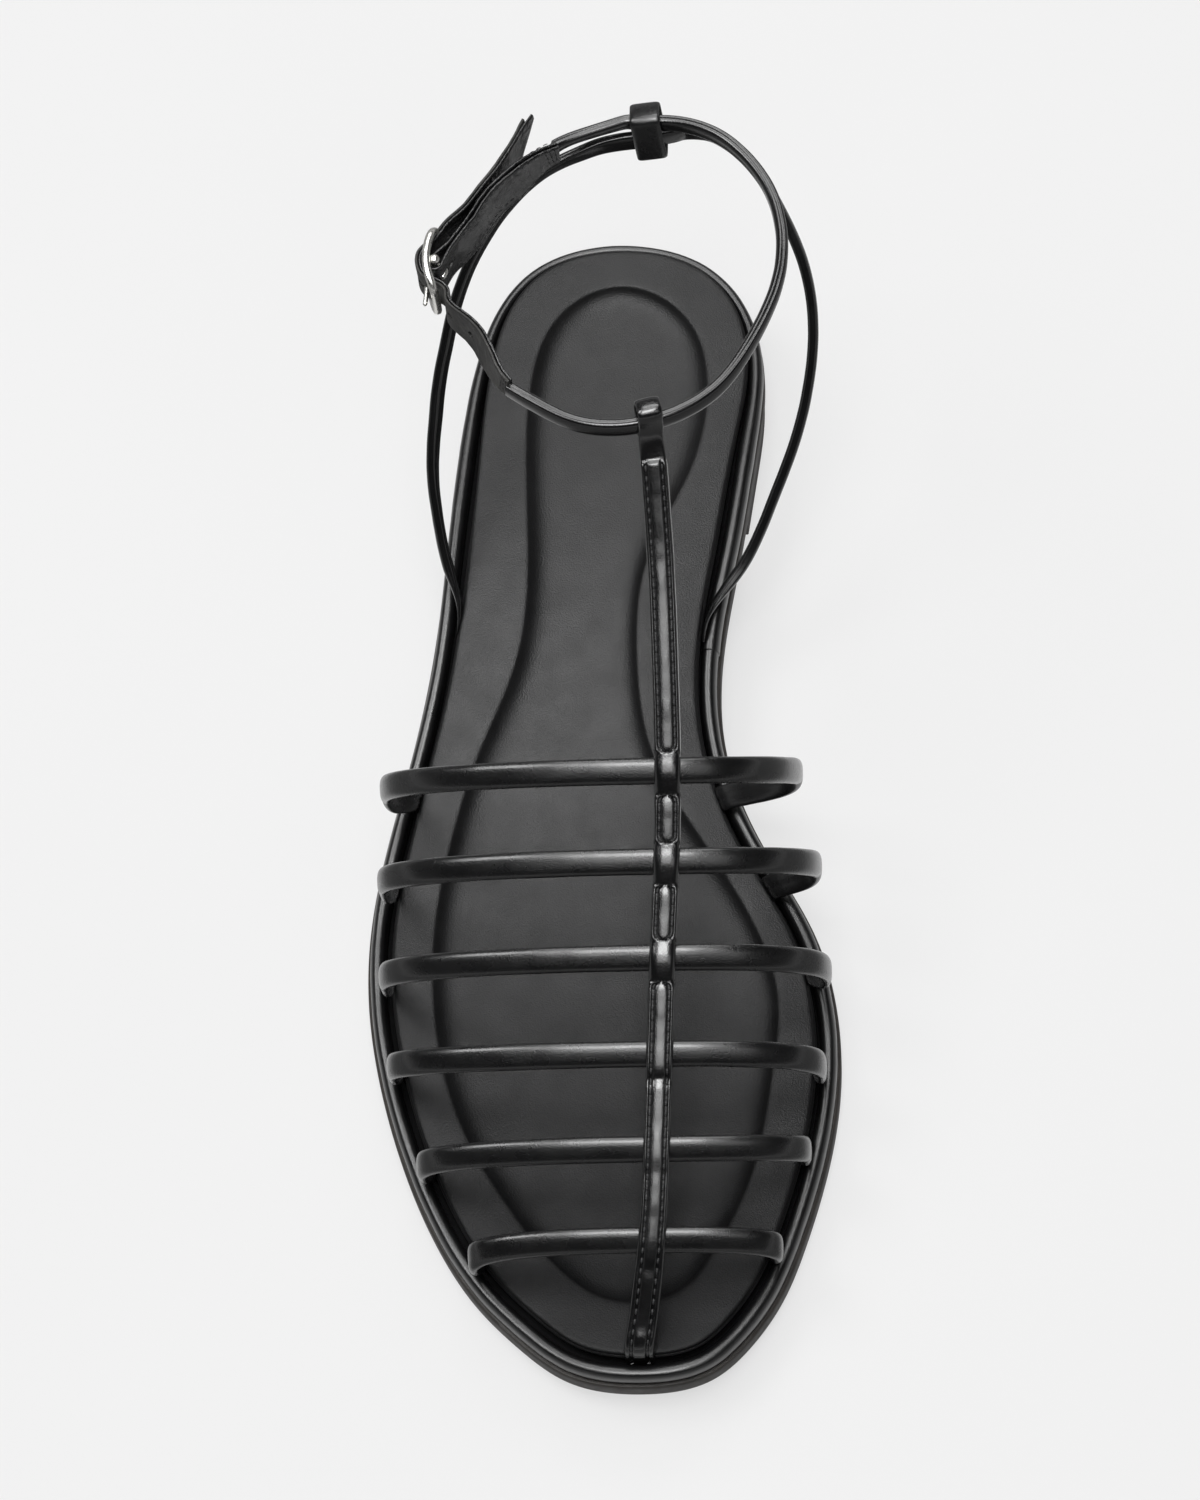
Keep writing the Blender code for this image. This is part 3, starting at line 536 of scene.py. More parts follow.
def super_ring(count, width_power, depth_power):
    """Ring of (width, depth) points between -1 and 1 on a superellipse."""
    angle = np.linspace(0.0, 2.0 * pi, count, endpoint=False)
    width = np.sign(np.cos(angle)) * np.abs(np.cos(angle)) ** (2.0 / width_power)
    depth = np.sign(np.sin(angle)) * np.abs(np.sin(angle)) ** (2.0 / depth_power)
    return width, depth


def place(piece, slot, *nodes):
    """The piece belongs to the part's one body and stands for the named nodes."""
    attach(piece, "root")
    if nodes:
        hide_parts(*nodes)
    return piece


# ---------------------------------------------------------------- materials

def node(tree, kind, **values):
    """New node; keywords name its properties, or its sockets when their first letter is a capital."""
    made = tree.nodes.new(kind)
    for name, value in values.items():
        if name[0].isupper():
            made.inputs[name.replace("_", " ")].default_value = value
        else:
            setattr(made, name, value)
    return made


def finish_material(name, colour, roughness, metallic=0.0):
    """Principled material with object coordinates, ready for its bump and colour nodes."""
    material = bpy.data.materials.new(name)
    material.use_nodes = True
    tree = material.node_tree
    shader = tree.nodes["Principled BSDF"]
    shader.inputs["Base Color"].default_value = (*colour, 1.0)
    shader.inputs["Roughness"].default_value = roughness
    shader.inputs["Metallic"].default_value = metallic
    place_node = node(tree, "ShaderNodeTexCoord")
    return material, tree, shader, place_node.outputs["Object"]


def varied(tree, place_socket, size, low, high, socket, detail=3.0):
    """Drive a socket between two values or colours with soft noise of the given size in mm."""
    cloud = clouds(tree, place_socket, 1.0 / (size * MM), Detail=detail, Roughness=0.55)
    if isinstance(low, tuple):
        ramp = node(tree, "ShaderNodeValToRGB")
        ramp.color_ramp.elements[0].position = 0.35
        ramp.color_ramp.elements[1].position = 0.68
        ramp.color_ramp.elements[0].color = (*low, 1.0)
        ramp.color_ramp.elements[1].color = (*high, 1.0)
        tree.links.new(cloud.outputs["Fac"], ramp.inputs["Fac"])
        tree.links.new(ramp.outputs["Color"], socket)
    else:
        span = node(tree, "ShaderNodeMapRange", From_Min=0.3, From_Max=0.7, To_Min=low, To_Max=high)
        tree.links.new(cloud.outputs["Fac"], span.inputs["Value"])
        tree.links.new(span.outputs["Result"], socket)


def clouds(tree, place_socket, scale, **values):
    """Noise texture of the given scale over the object's own coordinates."""
    made = node(tree, "ShaderNodeTexNoise", Scale=scale, **values)
    tree.links.new(place_socket, made.inputs["Vector"])
    return made


def bumped(tree, height, distance, below=None, **values):
    """Normal of a bump, laid over the normal below if there is one; distance in millimetres."""
    made = node(tree, "ShaderNodeBump", Strength=1.0, Distance=distance * MM, **values)
    tree.links.new(height, made.inputs["Height"])
    if below is not None:
        tree.links.new(below, made.inputs["Normal"])
    return made.outputs["Normal"]


def pebbles(tree, place_socket, size, depth, crease_size, crease_depth):
    """Bump chain of leather grain: rounded pebbles, fine pores and soft creases; sizes in mm."""
    warp = clouds(tree, place_socket, 0.6 / (size * MM), Detail=2.0)
    bent = node(tree, "ShaderNodeMixRGB", blend_type="ADD", Fac=0.35 * size * MM)
    tree.links.new(place_socket, bent.inputs["Color1"])
    tree.links.new(warp.outputs["Color"], bent.inputs["Color2"])
    cells = node(tree, "ShaderNodeTexVoronoi", feature="SMOOTH_F1", Scale=1.0 / (size * MM), Smoothness=0.35)
    tree.links.new(bent.outputs["Color"], cells.inputs["Vector"])
    normal = bumped(tree, cells.outputs["Distance"], depth, invert=True)
    pores = clouds(tree, place_socket, 3.5 / (size * MM), Detail=2.0)
    normal = bumped(tree, pores.outputs["Fac"], 0.25 * depth, normal)
    if crease_size:
        folds = clouds(tree, place_socket, 1.0 / (crease_size * MM), Detail=3.0, Distortion=0.6)
        normal = bumped(tree, folds.outputs["Fac"], crease_depth, normal)
    return normal


# y where the footbed's cover is dullest and where it has its full gloss; the gloss turned down towards the
# toe is painted shade, darkening the footbed where the straps shade it
TOE_SHADE_SPAN = (-95.0, -20.0)


def leather(name, dark, light, roughness, grain, depth, creases=(0.0, 0.0), coat=0.0, coat_roughness=0.2,
            gloss=0.5, toe_shade_gloss=0.0):
    """Black faux leather: its colour and gloss drift softly over a pebbled grain; a toe gloss turns the gloss
    down towards the toe as painted shade.
    """
    material, tree, shader, place_socket = finish_material(name, dark, roughness[0])
    varied(tree, place_socket, 9.0, dark, light, shader.inputs["Base Color"])
    varied(tree, place_socket, 6.0, roughness[0], roughness[1], shader.inputs["Roughness"])
    shader.inputs["Specular IOR Level"].default_value = gloss
    shader.inputs["Coat Weight"].default_value = coat
    shader.inputs["Coat Roughness"].default_value = coat_roughness
    if toe_shade_gloss:
        parts = node(tree, "ShaderNodeSeparateXYZ")
        tree.links.new(place_socket, parts.inputs["Vector"])
        # the gloss falls from full to the toe gloss towards the toe: painted shade that darkens the footbed
        # under the straps
        worn = node(tree, "ShaderNodeMapRange", From_Min=TOE_SHADE_SPAN[0] * MM, From_Max=TOE_SHADE_SPAN[1] * MM,
                    To_Min=toe_shade_gloss, To_Max=gloss)
        tree.links.new(parts.outputs["Y"], worn.inputs["Value"])
        tree.links.new(worn.outputs["Result"], shader.inputs["Specular IOR Level"])
    normal = pebbles(tree, place_socket, grain, depth, *creases)
    tree.links.new(normal, shader.inputs["Normal"])
    return material


def rubber(name, dark, light, roughness):
    """Matt moulded rubber with a fine speckle."""
    material, tree, shader, place_socket = finish_material(name, dark, roughness[0])
    varied(tree, place_socket, 5.0, dark, light, shader.inputs["Base Color"], detail=6.0)
    varied(tree, place_socket, 2.5, roughness[0], roughness[1], shader.inputs["Roughness"])
    speck = clouds(tree, place_socket, 1.0 / (0.35 * MM), Detail=4.0)
    tree.links.new(bumped(tree, speck.outputs["Fac"], 0.03), shader.inputs["Normal"])
    return material


def polished(name, colour):
    """Plated metal with faint brushing and handling marks."""
    material, tree, shader, place_socket = finish_material(name, colour, 0.3, 1.0)
    varied(tree, place_socket, 1.2, 0.22, 0.36, shader.inputs["Roughness"], detail=5.0)
    marks = clouds(tree, place_socket, 1.0 / (0.8 * MM), Detail=3.0)
    tree.links.new(bumped(tree, marks.outputs["Fac"], 0.008), shader.inputs["Normal"])
    return material


def thread_material(name):
    """Twisted black thread."""
    material, tree, shader, place_socket = finish_material(name, (0.03, 0.03, 0.031), 0.42)
    twist = node(tree, "ShaderNodeTexWave", Scale=1.0 / (0.9 * MM), bands_direction="DIAGONAL")
    tree.links.new(place_socket, twist.inputs["Vector"])
    tree.links.new(bumped(tree, twist.outputs["Fac"], 0.05), shader.inputs["Normal"])
    return material


BLACK = (0.0035, 0.0035, 0.0037)
SOFT_BLACK = (0.006, 0.006, 0.0063)
BED_DARK = (0.0045, 0.0045, 0.0048)
BED_LIGHT = (0.0075, 0.0075, 0.0079)
# the tongue's lining: a real lining, made this light grey also to paint the highlight on the tongue's inner
# face and the light lines along its top edges
LINING_SHEEN_DARK = (0.012, 0.012, 0.0115)
LINING_SHEEN_LIGHT = (0.045, 0.044, 0.041)
SOLE_DARK = (0.022, 0.019, 0.017)
SOLE_LIGHT = (0.036, 0.031, 0.027)
SILVER = (0.93, 0.92, 0.88)


# ---------------------------------------------------------------- sole

# columns: distance in from the edge, height above the underside
OUTSOLE_PROFILE = [
    (6.2, 0.0), (5.9, 0.35), (5.0, 0.35), (4.7, 0.0),
    (0.95, 0.0), (0.45, 0.12), (0.14, 0.45), (0.0, 1.0), (0.0, 2.0), (0.0, 3.2), (0.0, 4.4),
    (0.03, 5.0), (0.13, 5.5), (0.34, 5.85), (0.7, 6.0), (1.5, 6.0),
]


def build_outsole(material):
    loops = [inset_loop(distance, height) for distance, height in OUTSOLE_PROFILE]
    return place(stack("outsole_shell", loops, material, 40.0), "outsole_rubber", "outsole")


RIB_PITCH = 0.62
RIB_DEPTH = 0.16
RIB_SAMPLES = 4
# columns: distance in from the edge, height, 1 if measured from the floor and 0 from the outsole,
# share of the rib depth
HEEL_PROFILE = [
    (1.0, 0.0, 1, 0.0), (0.6, 0.12, 1, 0.0), (0.42, 0.4, 1, 0.0), (0.38, 0.8, 1, 0.0),
    (0.38, 1.0, 1, 1.0), (0.34, -1.3, 0, 1.0), (0.34, -1.1, 0, 0.0), (0.3, -0.8, 0, 0.0),
    (0.4, -0.45, 0, 0.0), (0.8, -GAP, 0, 0.0),
]


def heel_plan():
    """Edge points and normals round the back of the heel, a whole number of points to a rib."""
    t, at = EDGE_CURVE
    fine = at(np.linspace(0.0, t[-1], 6000))
    length = travelled(fine)
    inside = np.where(fine[:, 1] > HEEL_BREAST_Y)[0]
    start, end = length[inside[0]], length[inside[-1]]
    ribs = int(round((end - start) / RIB_PITCH))
    stations = np.linspace(start, end, ribs * RIB_SAMPLES + 1)
    plan = columns_at(stations, length, fine)
    along = unit_rows(np.gradient(plan, axis=0))
    normal = np.column_stack([along[:, 1], -along[:, 0]])
    wave = 0.5 + 0.5 * np.cos(np.arange(len(plan)) * 2.0 * pi / RIB_SAMPLES)
    return plan, normal, wave


def build_heel(material):
    """Low block under the back of the outsole, finely ribbed round its side, its breast straight."""
    plan, normal, wave = heel_plan()
    loops = []
    for distance, height, on_floor, ribbed in HEEL_PROFILE:
        inset = distance + RIB_DEPTH * ribbed * wave
        loop = plan - normal * inset[:, None]
        loop[[0, -1], 1] = HEEL_BREAST_Y + (0.6 if on_floor and height == 0.0 else 0.0)
        base = np.zeros(len(loop)) if on_floor else lift(loop[:, 1])
        loops.append(np.column_stack([loop, base + height]))
    size = len(plan)
    faces = strip_faces(len(loops), size)
    for base in (0, (len(loops) - 1) * size):
        for i in range(size // 2):
            low, high = base + i, base + size - 1 - i
            if high - low > 2:
                faces.append((low, low + 1, high - 1, high))
            elif high - low == 2:
                faces.append((low, low + 1, high))
    return place(make_mesh("heel_block", np.vstack(loops), faces, material, 50.0), "heel_rubber", "heel")


# the groove narrows to a slit round the heel: the roll and the footbed's cover both spread into it
SLIT = smooth_step(48.0, 84.0, EDGE[:, 1])
ROLL_SPREAD = 0.45 * SLIT
COVER_SPREAD = 0.3 + 0.4 * smooth_step(-8.0, 8.0, EDGE[:, 1])
# below 1 the roll's section is flatter on top than a circle
ROLL_SQUARE = 0.82
# columns: distance in from the roll's outer side, height above the platform's underside
PLATFORM_WALL = [(2.2, 0.0), (0.9, 0.1), (0.35, 0.5), (0.24, 1.0), (0.34, 1.5)]


def build_platform(material, deck_shade):
    """Wrapped platform: low wall, crease, padded roll with a stepped seam, groove, flat deck; the roll's
    inner foot, the groove's floor and the deck are a glossless black, painted shade that keeps the groove
    dark.
    """
    arc = EDGE_LENGTH
    sway = soft_noise(np.column_stack([EDGE, 0.0 * arc]), 11.0, 1) * 0.10
    sway += soft_noise(np.column_stack([EDGE, 0.0 * arc]), 3.5, 2) * 0.04
    medial = EDGE_NORMAL[:, 0] > 0.0
    behind = np.where(medial, EDGE[:, 1] - WRAP_SEAM_Y, -1.0)
    step = np.where(behind > -0.01, WRAP_STEP * np.exp(-behind / WRAP_STEP_FADE), 0.0)
    centre = LIP + (ROLL + ROLL_SPREAD) / 2.0
    loops = [inset_loop(LIP + distance, PLATFORM_BOTTOM + height) for distance, height in PLATFORM_WALL]
    radius = (ROLL + ROLL_SPREAD) / 2.0 + sway + step * 0.5
    tall = ROLL_TOP - DECK - 0.2 + sway + step * 0.4
    for angle in np.linspace(186.0, 2.0, 17):
        across, up = cos(radians(angle)), sin(radians(angle))
        across, up = (abs(part) ** ROLL_SQUARE * (1.0 if part > 0.0 else -1.0) for part in (across, up))
        height = DECK + 0.2 + tall * up
        loops.append(inset_loop(centre + radius * across, height))
    loops.append(inset_loop(LIP + ROLL + ROLL_SPREAD + 0.1, DECK + 0.05))
    loops.append(inset_loop(LIP + ROLL + ROLL_SPREAD + 0.6, DECK))
    wrap = stack("platform_wrap", loops, material)
    # the roll's inner foot, the groove's floor and the deck get the second, glossless black: painted shade
    # that keeps the groove dark
    wrap.data.materials.append(deck_shade)
    size = len(loops[0])
    for face in wrap.data.polygons[(len(loops) - 4) * size:]:
        if face.index < (len(loops) - 1) * size or face.normal.z > 0.5:
            face.material_index = 1
    return place(wrap, "platform_leather", "platform")


# columns: distance in from the footbed edge, height above the underside of the sole
BED_WALL = [
    (0.6, FOOTBED_BOTTOM), (0.15, FOOTBED_BOTTOM + 0.15), (0.0, FOOTBED_BOTTOM + 0.5), (0.0, 10.1),
    (-0.12, 10.25), (-0.34, 10.45), (-0.42, 10.75), (-0.34, 11.05), (-0.08, 11.22), (0.06, 11.3),
    (0.02, 11.55), (0.0, 11.9), (0.06, 12.15), (0.25, 12.36), (0.6, 12.47), (1.2, 12.54),
]
# columns: distance in from the edge of the recess, height above the underside of the sole
BED_RECESS = [
    (-2.2, 12.82), (-1.0, 12.82), (-0.45, 12.76), (-0.12, 12.62), (0.1, 12.40), (0.35, 12.08), (0.7, 11.75),
    (1.15, 11.44), (1.8, 11.12), (2.7, 10.83), (3.9, 10.62), (5.4, 10.50), (7.5, 10.48),
]


def build_footbed(material):
    """Insole: wrapped edge with a thin bead, flat rim and a softly sunken centre."""
    loops = []
    for distance, height in BED_WALL:
        bead = distance * (1.0 - 0.6 * SLIT) if distance < 0.0 else distance
        loops.append(inset_loop(BED - COVER_SPREAD + bead, height))
    loops += [recess_loop(distance, height) for distance, height in BED_RECESS]
    return place(stack("footbed_cover", loops, material), "footbed_leather", "footbed")


# ---------------------------------------------------------------- straps over the foot

GROOVE = EDGE - EDGE_NORMAL * ((LIP + ROLL + BED) / 2.0)[:, None]


def groove_place(y, side):
    """Point and direction of the groove at a given y on one side (-1 lateral, 1 medial)."""
    toe = int(np.argmin(EDGE[:, 1]))
    heel = int(np.argmax(EDGE[:, 1]))
    line = GROOVE[toe:heel + 1] if side > 0 else np.vstack([GROOVE[heel:], GROOVE[:toe + 1]])
    order = np.argsort(line[:, 1])
    x = np.interp(y, line[order, 1], line[order, 0])
    ahead = np.interp(y + 1.0, line[order, 1], line[order, 0])
    behind = np.interp(y - 1.0, line[order, 1], line[order, 0])
    slope = (lift(y + 1.0) - lift(y - 1.0)) / 2.0
    direction = np.array([(ahead - behind) / 2.0, 1.0, slope])
    return np.array([x, y]), direction / np.linalg.norm(direction)


ARCH_STEPS = 120
DROP_STEPS = 60
STRAP_SPACING = 0.7
# degrees that the faces of the six straps tilt towards the toe
STRAP_TILT = (28.0, 27.0, 29.0, 28.0, 32.0, 33.0)
# columns: share of the way down from the widest place to the groove, share of the full thickness
STRAP_TAPER = [(0.0, 1.0), (0.33, 1.0), (0.5, 0.9), (0.67, 0.7), (0.83, 0.38), (1.0, 0.0)]


def strap_side(crown, side, tilt, base_y, wide_y, wide_x, wide_z):
    """Columns x, y, z, width direction and thickness share from the crown down into the groove."""
    spot, groove_direction = groove_place(base_y, side)
    leaned = np.array([0.0, cos(tilt), sin(tilt)])
    floor = float(max(lift(base_y - STRAP_WIDTH / 2.0), lift(base_y + STRAP_WIDTH / 2.0))) + DECK + GAP
    mouth = floor + ROLL_TOP - DECK + STRAP_STRAIGHT
    crown = np.asarray(crown)
    turn = np.linspace(0.0, pi / 2.0, ARCH_STEPS + 1)
    sideways = np.sin(turn) ** STRAP_ROUNDNESS
    down = 1.0 - np.abs(np.cos(turn)) ** STRAP_ROUNDNESS
    wide = np.array([wide_x, wide_y, wide_z])
    share = np.column_stack([sideways, down, down])
    arch = crown + (wide - crown) * share
    entry = np.array([spot[0], spot[1], mouth])
    drop = wide_z - mouth
    first = wide - np.array([0.0, 0.0, 0.55 * drop])
    second = entry + np.array([0.16 * (wide_x - spot[0]), 0.2 * (wide_y - base_y), 0.30 * drop])
    v = np.linspace(0.0, 1.0, DROP_STEPS + 1)[1:, None]
    u = 1.0 - v
    fall = u ** 3 * wide + 3 * u * u * v * first + 3 * u * v * v * second + v ** 3 * entry
    blend = smooth_step(0.15, 1.0, v)
    fall_across = leaned * (1.0 - blend) + groove_direction * blend
    fall_depth = from_table(STRAP_TAPER, v[:, 0])
    bottom = np.array([[spot[0], spot[1], floor]])
    arch_columns = np.column_stack([arch, np.tile(leaned, (len(arch), 1)), np.ones(len(arch))])
    fall_columns = np.column_stack([fall, fall_across, fall_depth])
    bottom_columns = np.column_stack([bottom, groove_direction[None], [[0.0]]])
    return np.vstack([arch_columns, fall_columns, bottom_columns])


SEAM_DEPTH = 0.28
SEAM_WIDTH = 0.30
# lapped edge beside the seam: distance from it, half width, height
LAP_AT, LAP_HALF, LAP_HEIGHT = 0.45, 0.35, 0.10


def rolled_depths(width, depth, half_width, half_depth, seam_at, hollow):
    """Depth of each ring point of a rolled strap: faces a little hollow, a seam on the inner face."""
    faces = depth * half_depth * (1.0 - hollow * (1.0 - width ** 2) * (depth < 0.0))
    across = width * half_width
    inner = np.clip(-2.0 * depth, 0.0, 1.0)
    groove = np.exp(-((across - seam_at) / (SEAM_WIDTH / 2.0)) ** 2)
    lap = np.exp(-((across - seam_at - LAP_AT) / LAP_HALF) ** 2)
    return faces + inner * (SEAM_DEPTH * groove - LAP_HEIGHT * lap)


def build_cross_strap(name, row, number, material):
    """Rolled strap from groove to groove over the foot, its seam along the inner face."""
    crown, lateral, medial = row[:3], row[3], row[4]
    tilt = radians(STRAP_TILT[number - 1])
    left = strap_side(crown, -1, tilt, *lateral)
    right = strap_side(crown, 1, tilt, *medial)
    columns = resampled(np.vstack([left[::-1], right[1:]]), STRAP_SPACING)
    route, across, share = columns[:, :3], columns[:, 3:6], columns[:, 6]
    width, depth = super_ring(44, 2.8, 2.3)
    half_depth = (STRAP_TAB_THICKNESS + (STRAP_THICKNESS - STRAP_TAB_THICKNESS) * share) / 2.0
    sway = soft_noise(route, 9.0, number) * 0.05 + soft_noise(route, 3.0, number + 7) * 0.02
    half_width = STRAP_WIDTH / 2.0 + sway
    widths = half_width[:, None] * width
    depths = rolled_depths(width, depth, half_width[:, None], half_depth[:, None], 0.1, 0.06)
    dips = soft_noise(route, 5.0, number + 20)[:, None] * 0.05
    rows = swept(route, across, widths, depths + dips * (depth > 0.0))
    return place(skin(name, rows, material), "upper_leather", "upper")


T_SPACING = 0.35
# columns: distance from the toe end, thickness
T_TAPER = [(0.0, STRAP_TAB_THICKNESS), (3.8, 0.9), (7.0, 1.8), (10.0, T_STRAP_THICKNESS)]
# columns: x, y, z from the mouth of the groove at the toe
T_TOE_START = [(0.0, 0.0, 0.6), (0.0, 0.35, 2.6), (0.1, 1.5, 4.4)]
T_GROOVE_AT = 1.62
T_GROOVE_HALF = 0.33
T_GROOVE_DEPTH = 0.55
T_PAD_HEIGHT = 0.2
T_PAD_UNEVEN = 0.09
# for each cross strap, hindmost first: hump of the T-strap over it, dip on its toe side
T_BRIDGES = [(0.55, 0.30)] * 3 + [(0.22, 0.42), (0.22, 0.12), (0.22, 0.12)]
T_BRIDGE_HEELWARD = 2.7
T_BRIDGE_TOEWARD = 4.8
T_PANEL_TOP_Y = 40.6
T_PANEL_END = 1.5
T_TOE_FLARE = 0.3
STITCH_PITCH = 2.15
STITCH_LENGTH = 1.45
STITCH_RADIUS = 0.17
LOOP_THICKNESS = 1.05
LOOP_CORNER = 1.3
T_TURNING = 7.0


def top_loop_line():
    """Middle line of the strip up the front of the ankle strap, over it, down its back and under it."""
    half_deep = ANKLE_THICKNESS / 2.0 + GAP + 0.1 + LOOP_THICKNESS / 2.0
    half_tall = ANKLE_HEIGHT / 2.0 + GAP + TOP_LOOP_SLACK + LOOP_THICKNESS / 2.0
    lean, turn = radians(RING_FRONT_LEAN), radians(RING_FRONT_TURN)
    tall = np.array([0.0, sin(lean), cos(lean)])
    deep = np.cross(tall, (cos(turn), sin(turn), 0.0))
    centre = np.array(RING_FRONT) + tall * (TOP_LOOP_SLACK - 0.1)
    side, corner = half_tall - LOOP_CORNER, half_deep - LOOP_CORNER
    bend = [(cos(radians(a)), sin(radians(a))) for a in (0.0, 22.5, 45.0, 67.5, 90.0)]
    points = [(-half_deep, -0.3 * side), (-half_deep, 0.35 * side)]
    points += [(-corner - LOOP_CORNER * c, side + LOOP_CORNER * s) for c, s in bend]
    points += [(corner + LOOP_CORNER * s, side + LOOP_CORNER * c) for c, s in bend]
    points += [(half_deep, 0.35 * side), (half_deep, -0.4 * side)]
    points += [(corner + LOOP_CORNER * c, -side - LOOP_CORNER * s) for c, s in bend]
    points.append((0.0, -half_tall))
    return [tuple(centre + a * deep + b * tall) for a, b in points]


def t_strap_line():
    """Stations of the T-strap from the toe groove up to the ankle, with its half thickness."""
    toe = int(np.argmin(EDGE[:, 1]))
    spot = GROOVE[toe]
    floor = float(lift(spot[1])) + DECK + GAP
    mouth = floor + ROLL_TOP - DECK
    start = [(spot[0], spot[1], floor)]
    start += [(spot[0] + x, spot[1] + y, mouth + z) for x, y, z in T_TOE_START]
    rows = start + [(x, y, z + T_STRAP_RISE) for x, y, z in T_STRAP_ROUTE] + top_loop_line()
    length = travelled(np.array(rows))[-1]
    route = even_points(rows, int(length / T_SPACING))
    far = travelled(route)
    half = from_table(T_TAPER, far) / 2.0
    top = int(np.argmax(route[:, 1] > T_STRAP_ROUTE[-1][1]))
    turned = smooth_step(-T_TURNING, 0.0, far - far[top])
    thin = np.where(far < far[top], smooth_step(T_PANEL_TOP_Y - 0.1, T_PANEL_TOP_Y + 0.5, route[:, 1]), 1.0)
    return route, half * (1.0 - thin) + LOOP_THICKNESS / 2.0 * thin, turned


def panel_share(y):
    """1 inside a stitched panel and 0 on a plain stretch; and the distance to the panel's end."""
    bridges = [CROSS_STRAPS[name][1] for name in ("strap_1", "strap_2", "strap_3")]
    end = T_PANEL_TOP_Y - y
    for crown_y in bridges:
        low, high = crown_y - T_BRIDGE_TOEWARD, crown_y + T_BRIDGE_HEELWARD
        end = np.minimum(end, np.maximum(low - y, y - high))
    return smooth_step(-0.3, 0.3, end), np.clip(end, 0.0, None)


def bridge_rise(y):
    """How far the T-strap humps up over each cross strap and dips beside it."""
    rise = 0.0 * y
    for row, (hump, dip) in zip(CROSS_STRAPS.values(), T_BRIDGES):
        middle = row[1] - 0.9
        rise += hump * np.exp(-((y - middle) / 2.5) ** 2)
        rise -= dip * np.exp(-((y - middle + 4.2) / 1.3) ** 2)
    return rise


def build_t_strap(material, thread):
    """Flat strip down the foot with padded stitched panels, its bridges plain, and its stitching."""
    route, half, turned = t_strap_line()
    y = route[:, 1]
    panel, end = panel_share(y)
    full = smooth_step(3.0, 12.0, travelled(route))
    route = route + np.column_stack([0.0 * y, 0.0 * y, bridge_rise(y) * full])
    ends = np.sqrt(np.clip(1.0 - (1.0 - np.clip(end / T_PANEL_END, 0.0, 1.0)) ** 2, 0.0, 1.0))
    ends = np.where(y > T_PANEL_TOP_Y - 2.0 * T_PANEL_END, 1.0, ends)
    groove_at = T_GROOVE_AT * ends
    half_width = T_STRAP_WIDTH / 2.0 - 0.12 * (1.0 - panel) + T_TOE_FLARE * smooth_step(-88.0, -118.0, y)
    half_width = half_width + soft_noise(route, 6.0, 31) * 0.05 - 0.15 * turned
    turn = np.radians(RING_FRONT_TURN) * turned
    flat = np.column_stack([-np.cos(turn), -np.sin(turn), 0.0 * turn])
    top = np.linspace(1.0, -1.0, 45)
    under = np.linspace(-1.0, 1.0, 15)[1:-1]
    across = top[None] * half_width[:, None]
    body = half[:, None] * (1.0 - np.abs(top[None]) ** 8) ** 0.4
    plain = half[:, None] * (1.0 - np.abs(top[None]) ** 3) ** 0.5
    aside = np.abs(across) - groove_at[:, None]
    groove = np.exp(-(np.abs(aside) / T_GROOVE_HALF) ** 3)
    inner = np.clip(1.0 - (across / np.maximum(groove_at[:, None], 0.05)) ** 2, 0.0, 1.0)
    thick = np.clip(half[:, None] / (T_STRAP_THICKNESS / 2.0), 0.25, 1.0)
    pad = T_PAD_HEIGHT + T_PAD_UNEVEN * soft_noise(route, 3.2, 37)[:, None]
    shaped = body + thick * (pad * inner * ends[:, None] - T_GROOVE_DEPTH * groove)
    shaped = plain * (1.0 - panel[:, None]) + shaped * panel[:, None]
    below = -half[:, None] * (1.0 - np.abs(under[None]) ** 4) ** 0.5
    widths = np.hstack([across, under[None] * half_width[:, None]])
    depths = np.hstack([shaped, below])
    rows = swept(route, flat, widths, depths)
    strip = place(skin("t_strap", rows, material), "upper_leather", "upper")
    paths = stitch_paths(route, groove_at, half, end)
    place(build_stitches("t_strap_stitching", paths, thread), "upper_leather")
    return strip


def stitch_paths(route, groove_at, half, end):
    """Lines of stitches, one to each side of every panel, as points with their outward direction."""
    _, across, out = frames(route, (-1.0, 0.0, 0.0))
    paths = []
    inside = (end > 0.25) & (travelled(route) > 6.0)
    runs = np.split(np.arange(len(route)), np.where(np.diff(inside.astype(int)) != 0)[0] + 1)
    floor = half - T_GROOVE_DEPTH * 0.86 + 0.02
    for run in runs:
        if not inside[run[0]] or len(run) < 6:
            continue
        for side in (-1.0, 1.0):
            line = route[run] + across[run] * (side * groove_at[run])[:, None]
            line = line + out[run] * floor[run][:, None]
            paths.append((line, out[run]))
    return paths


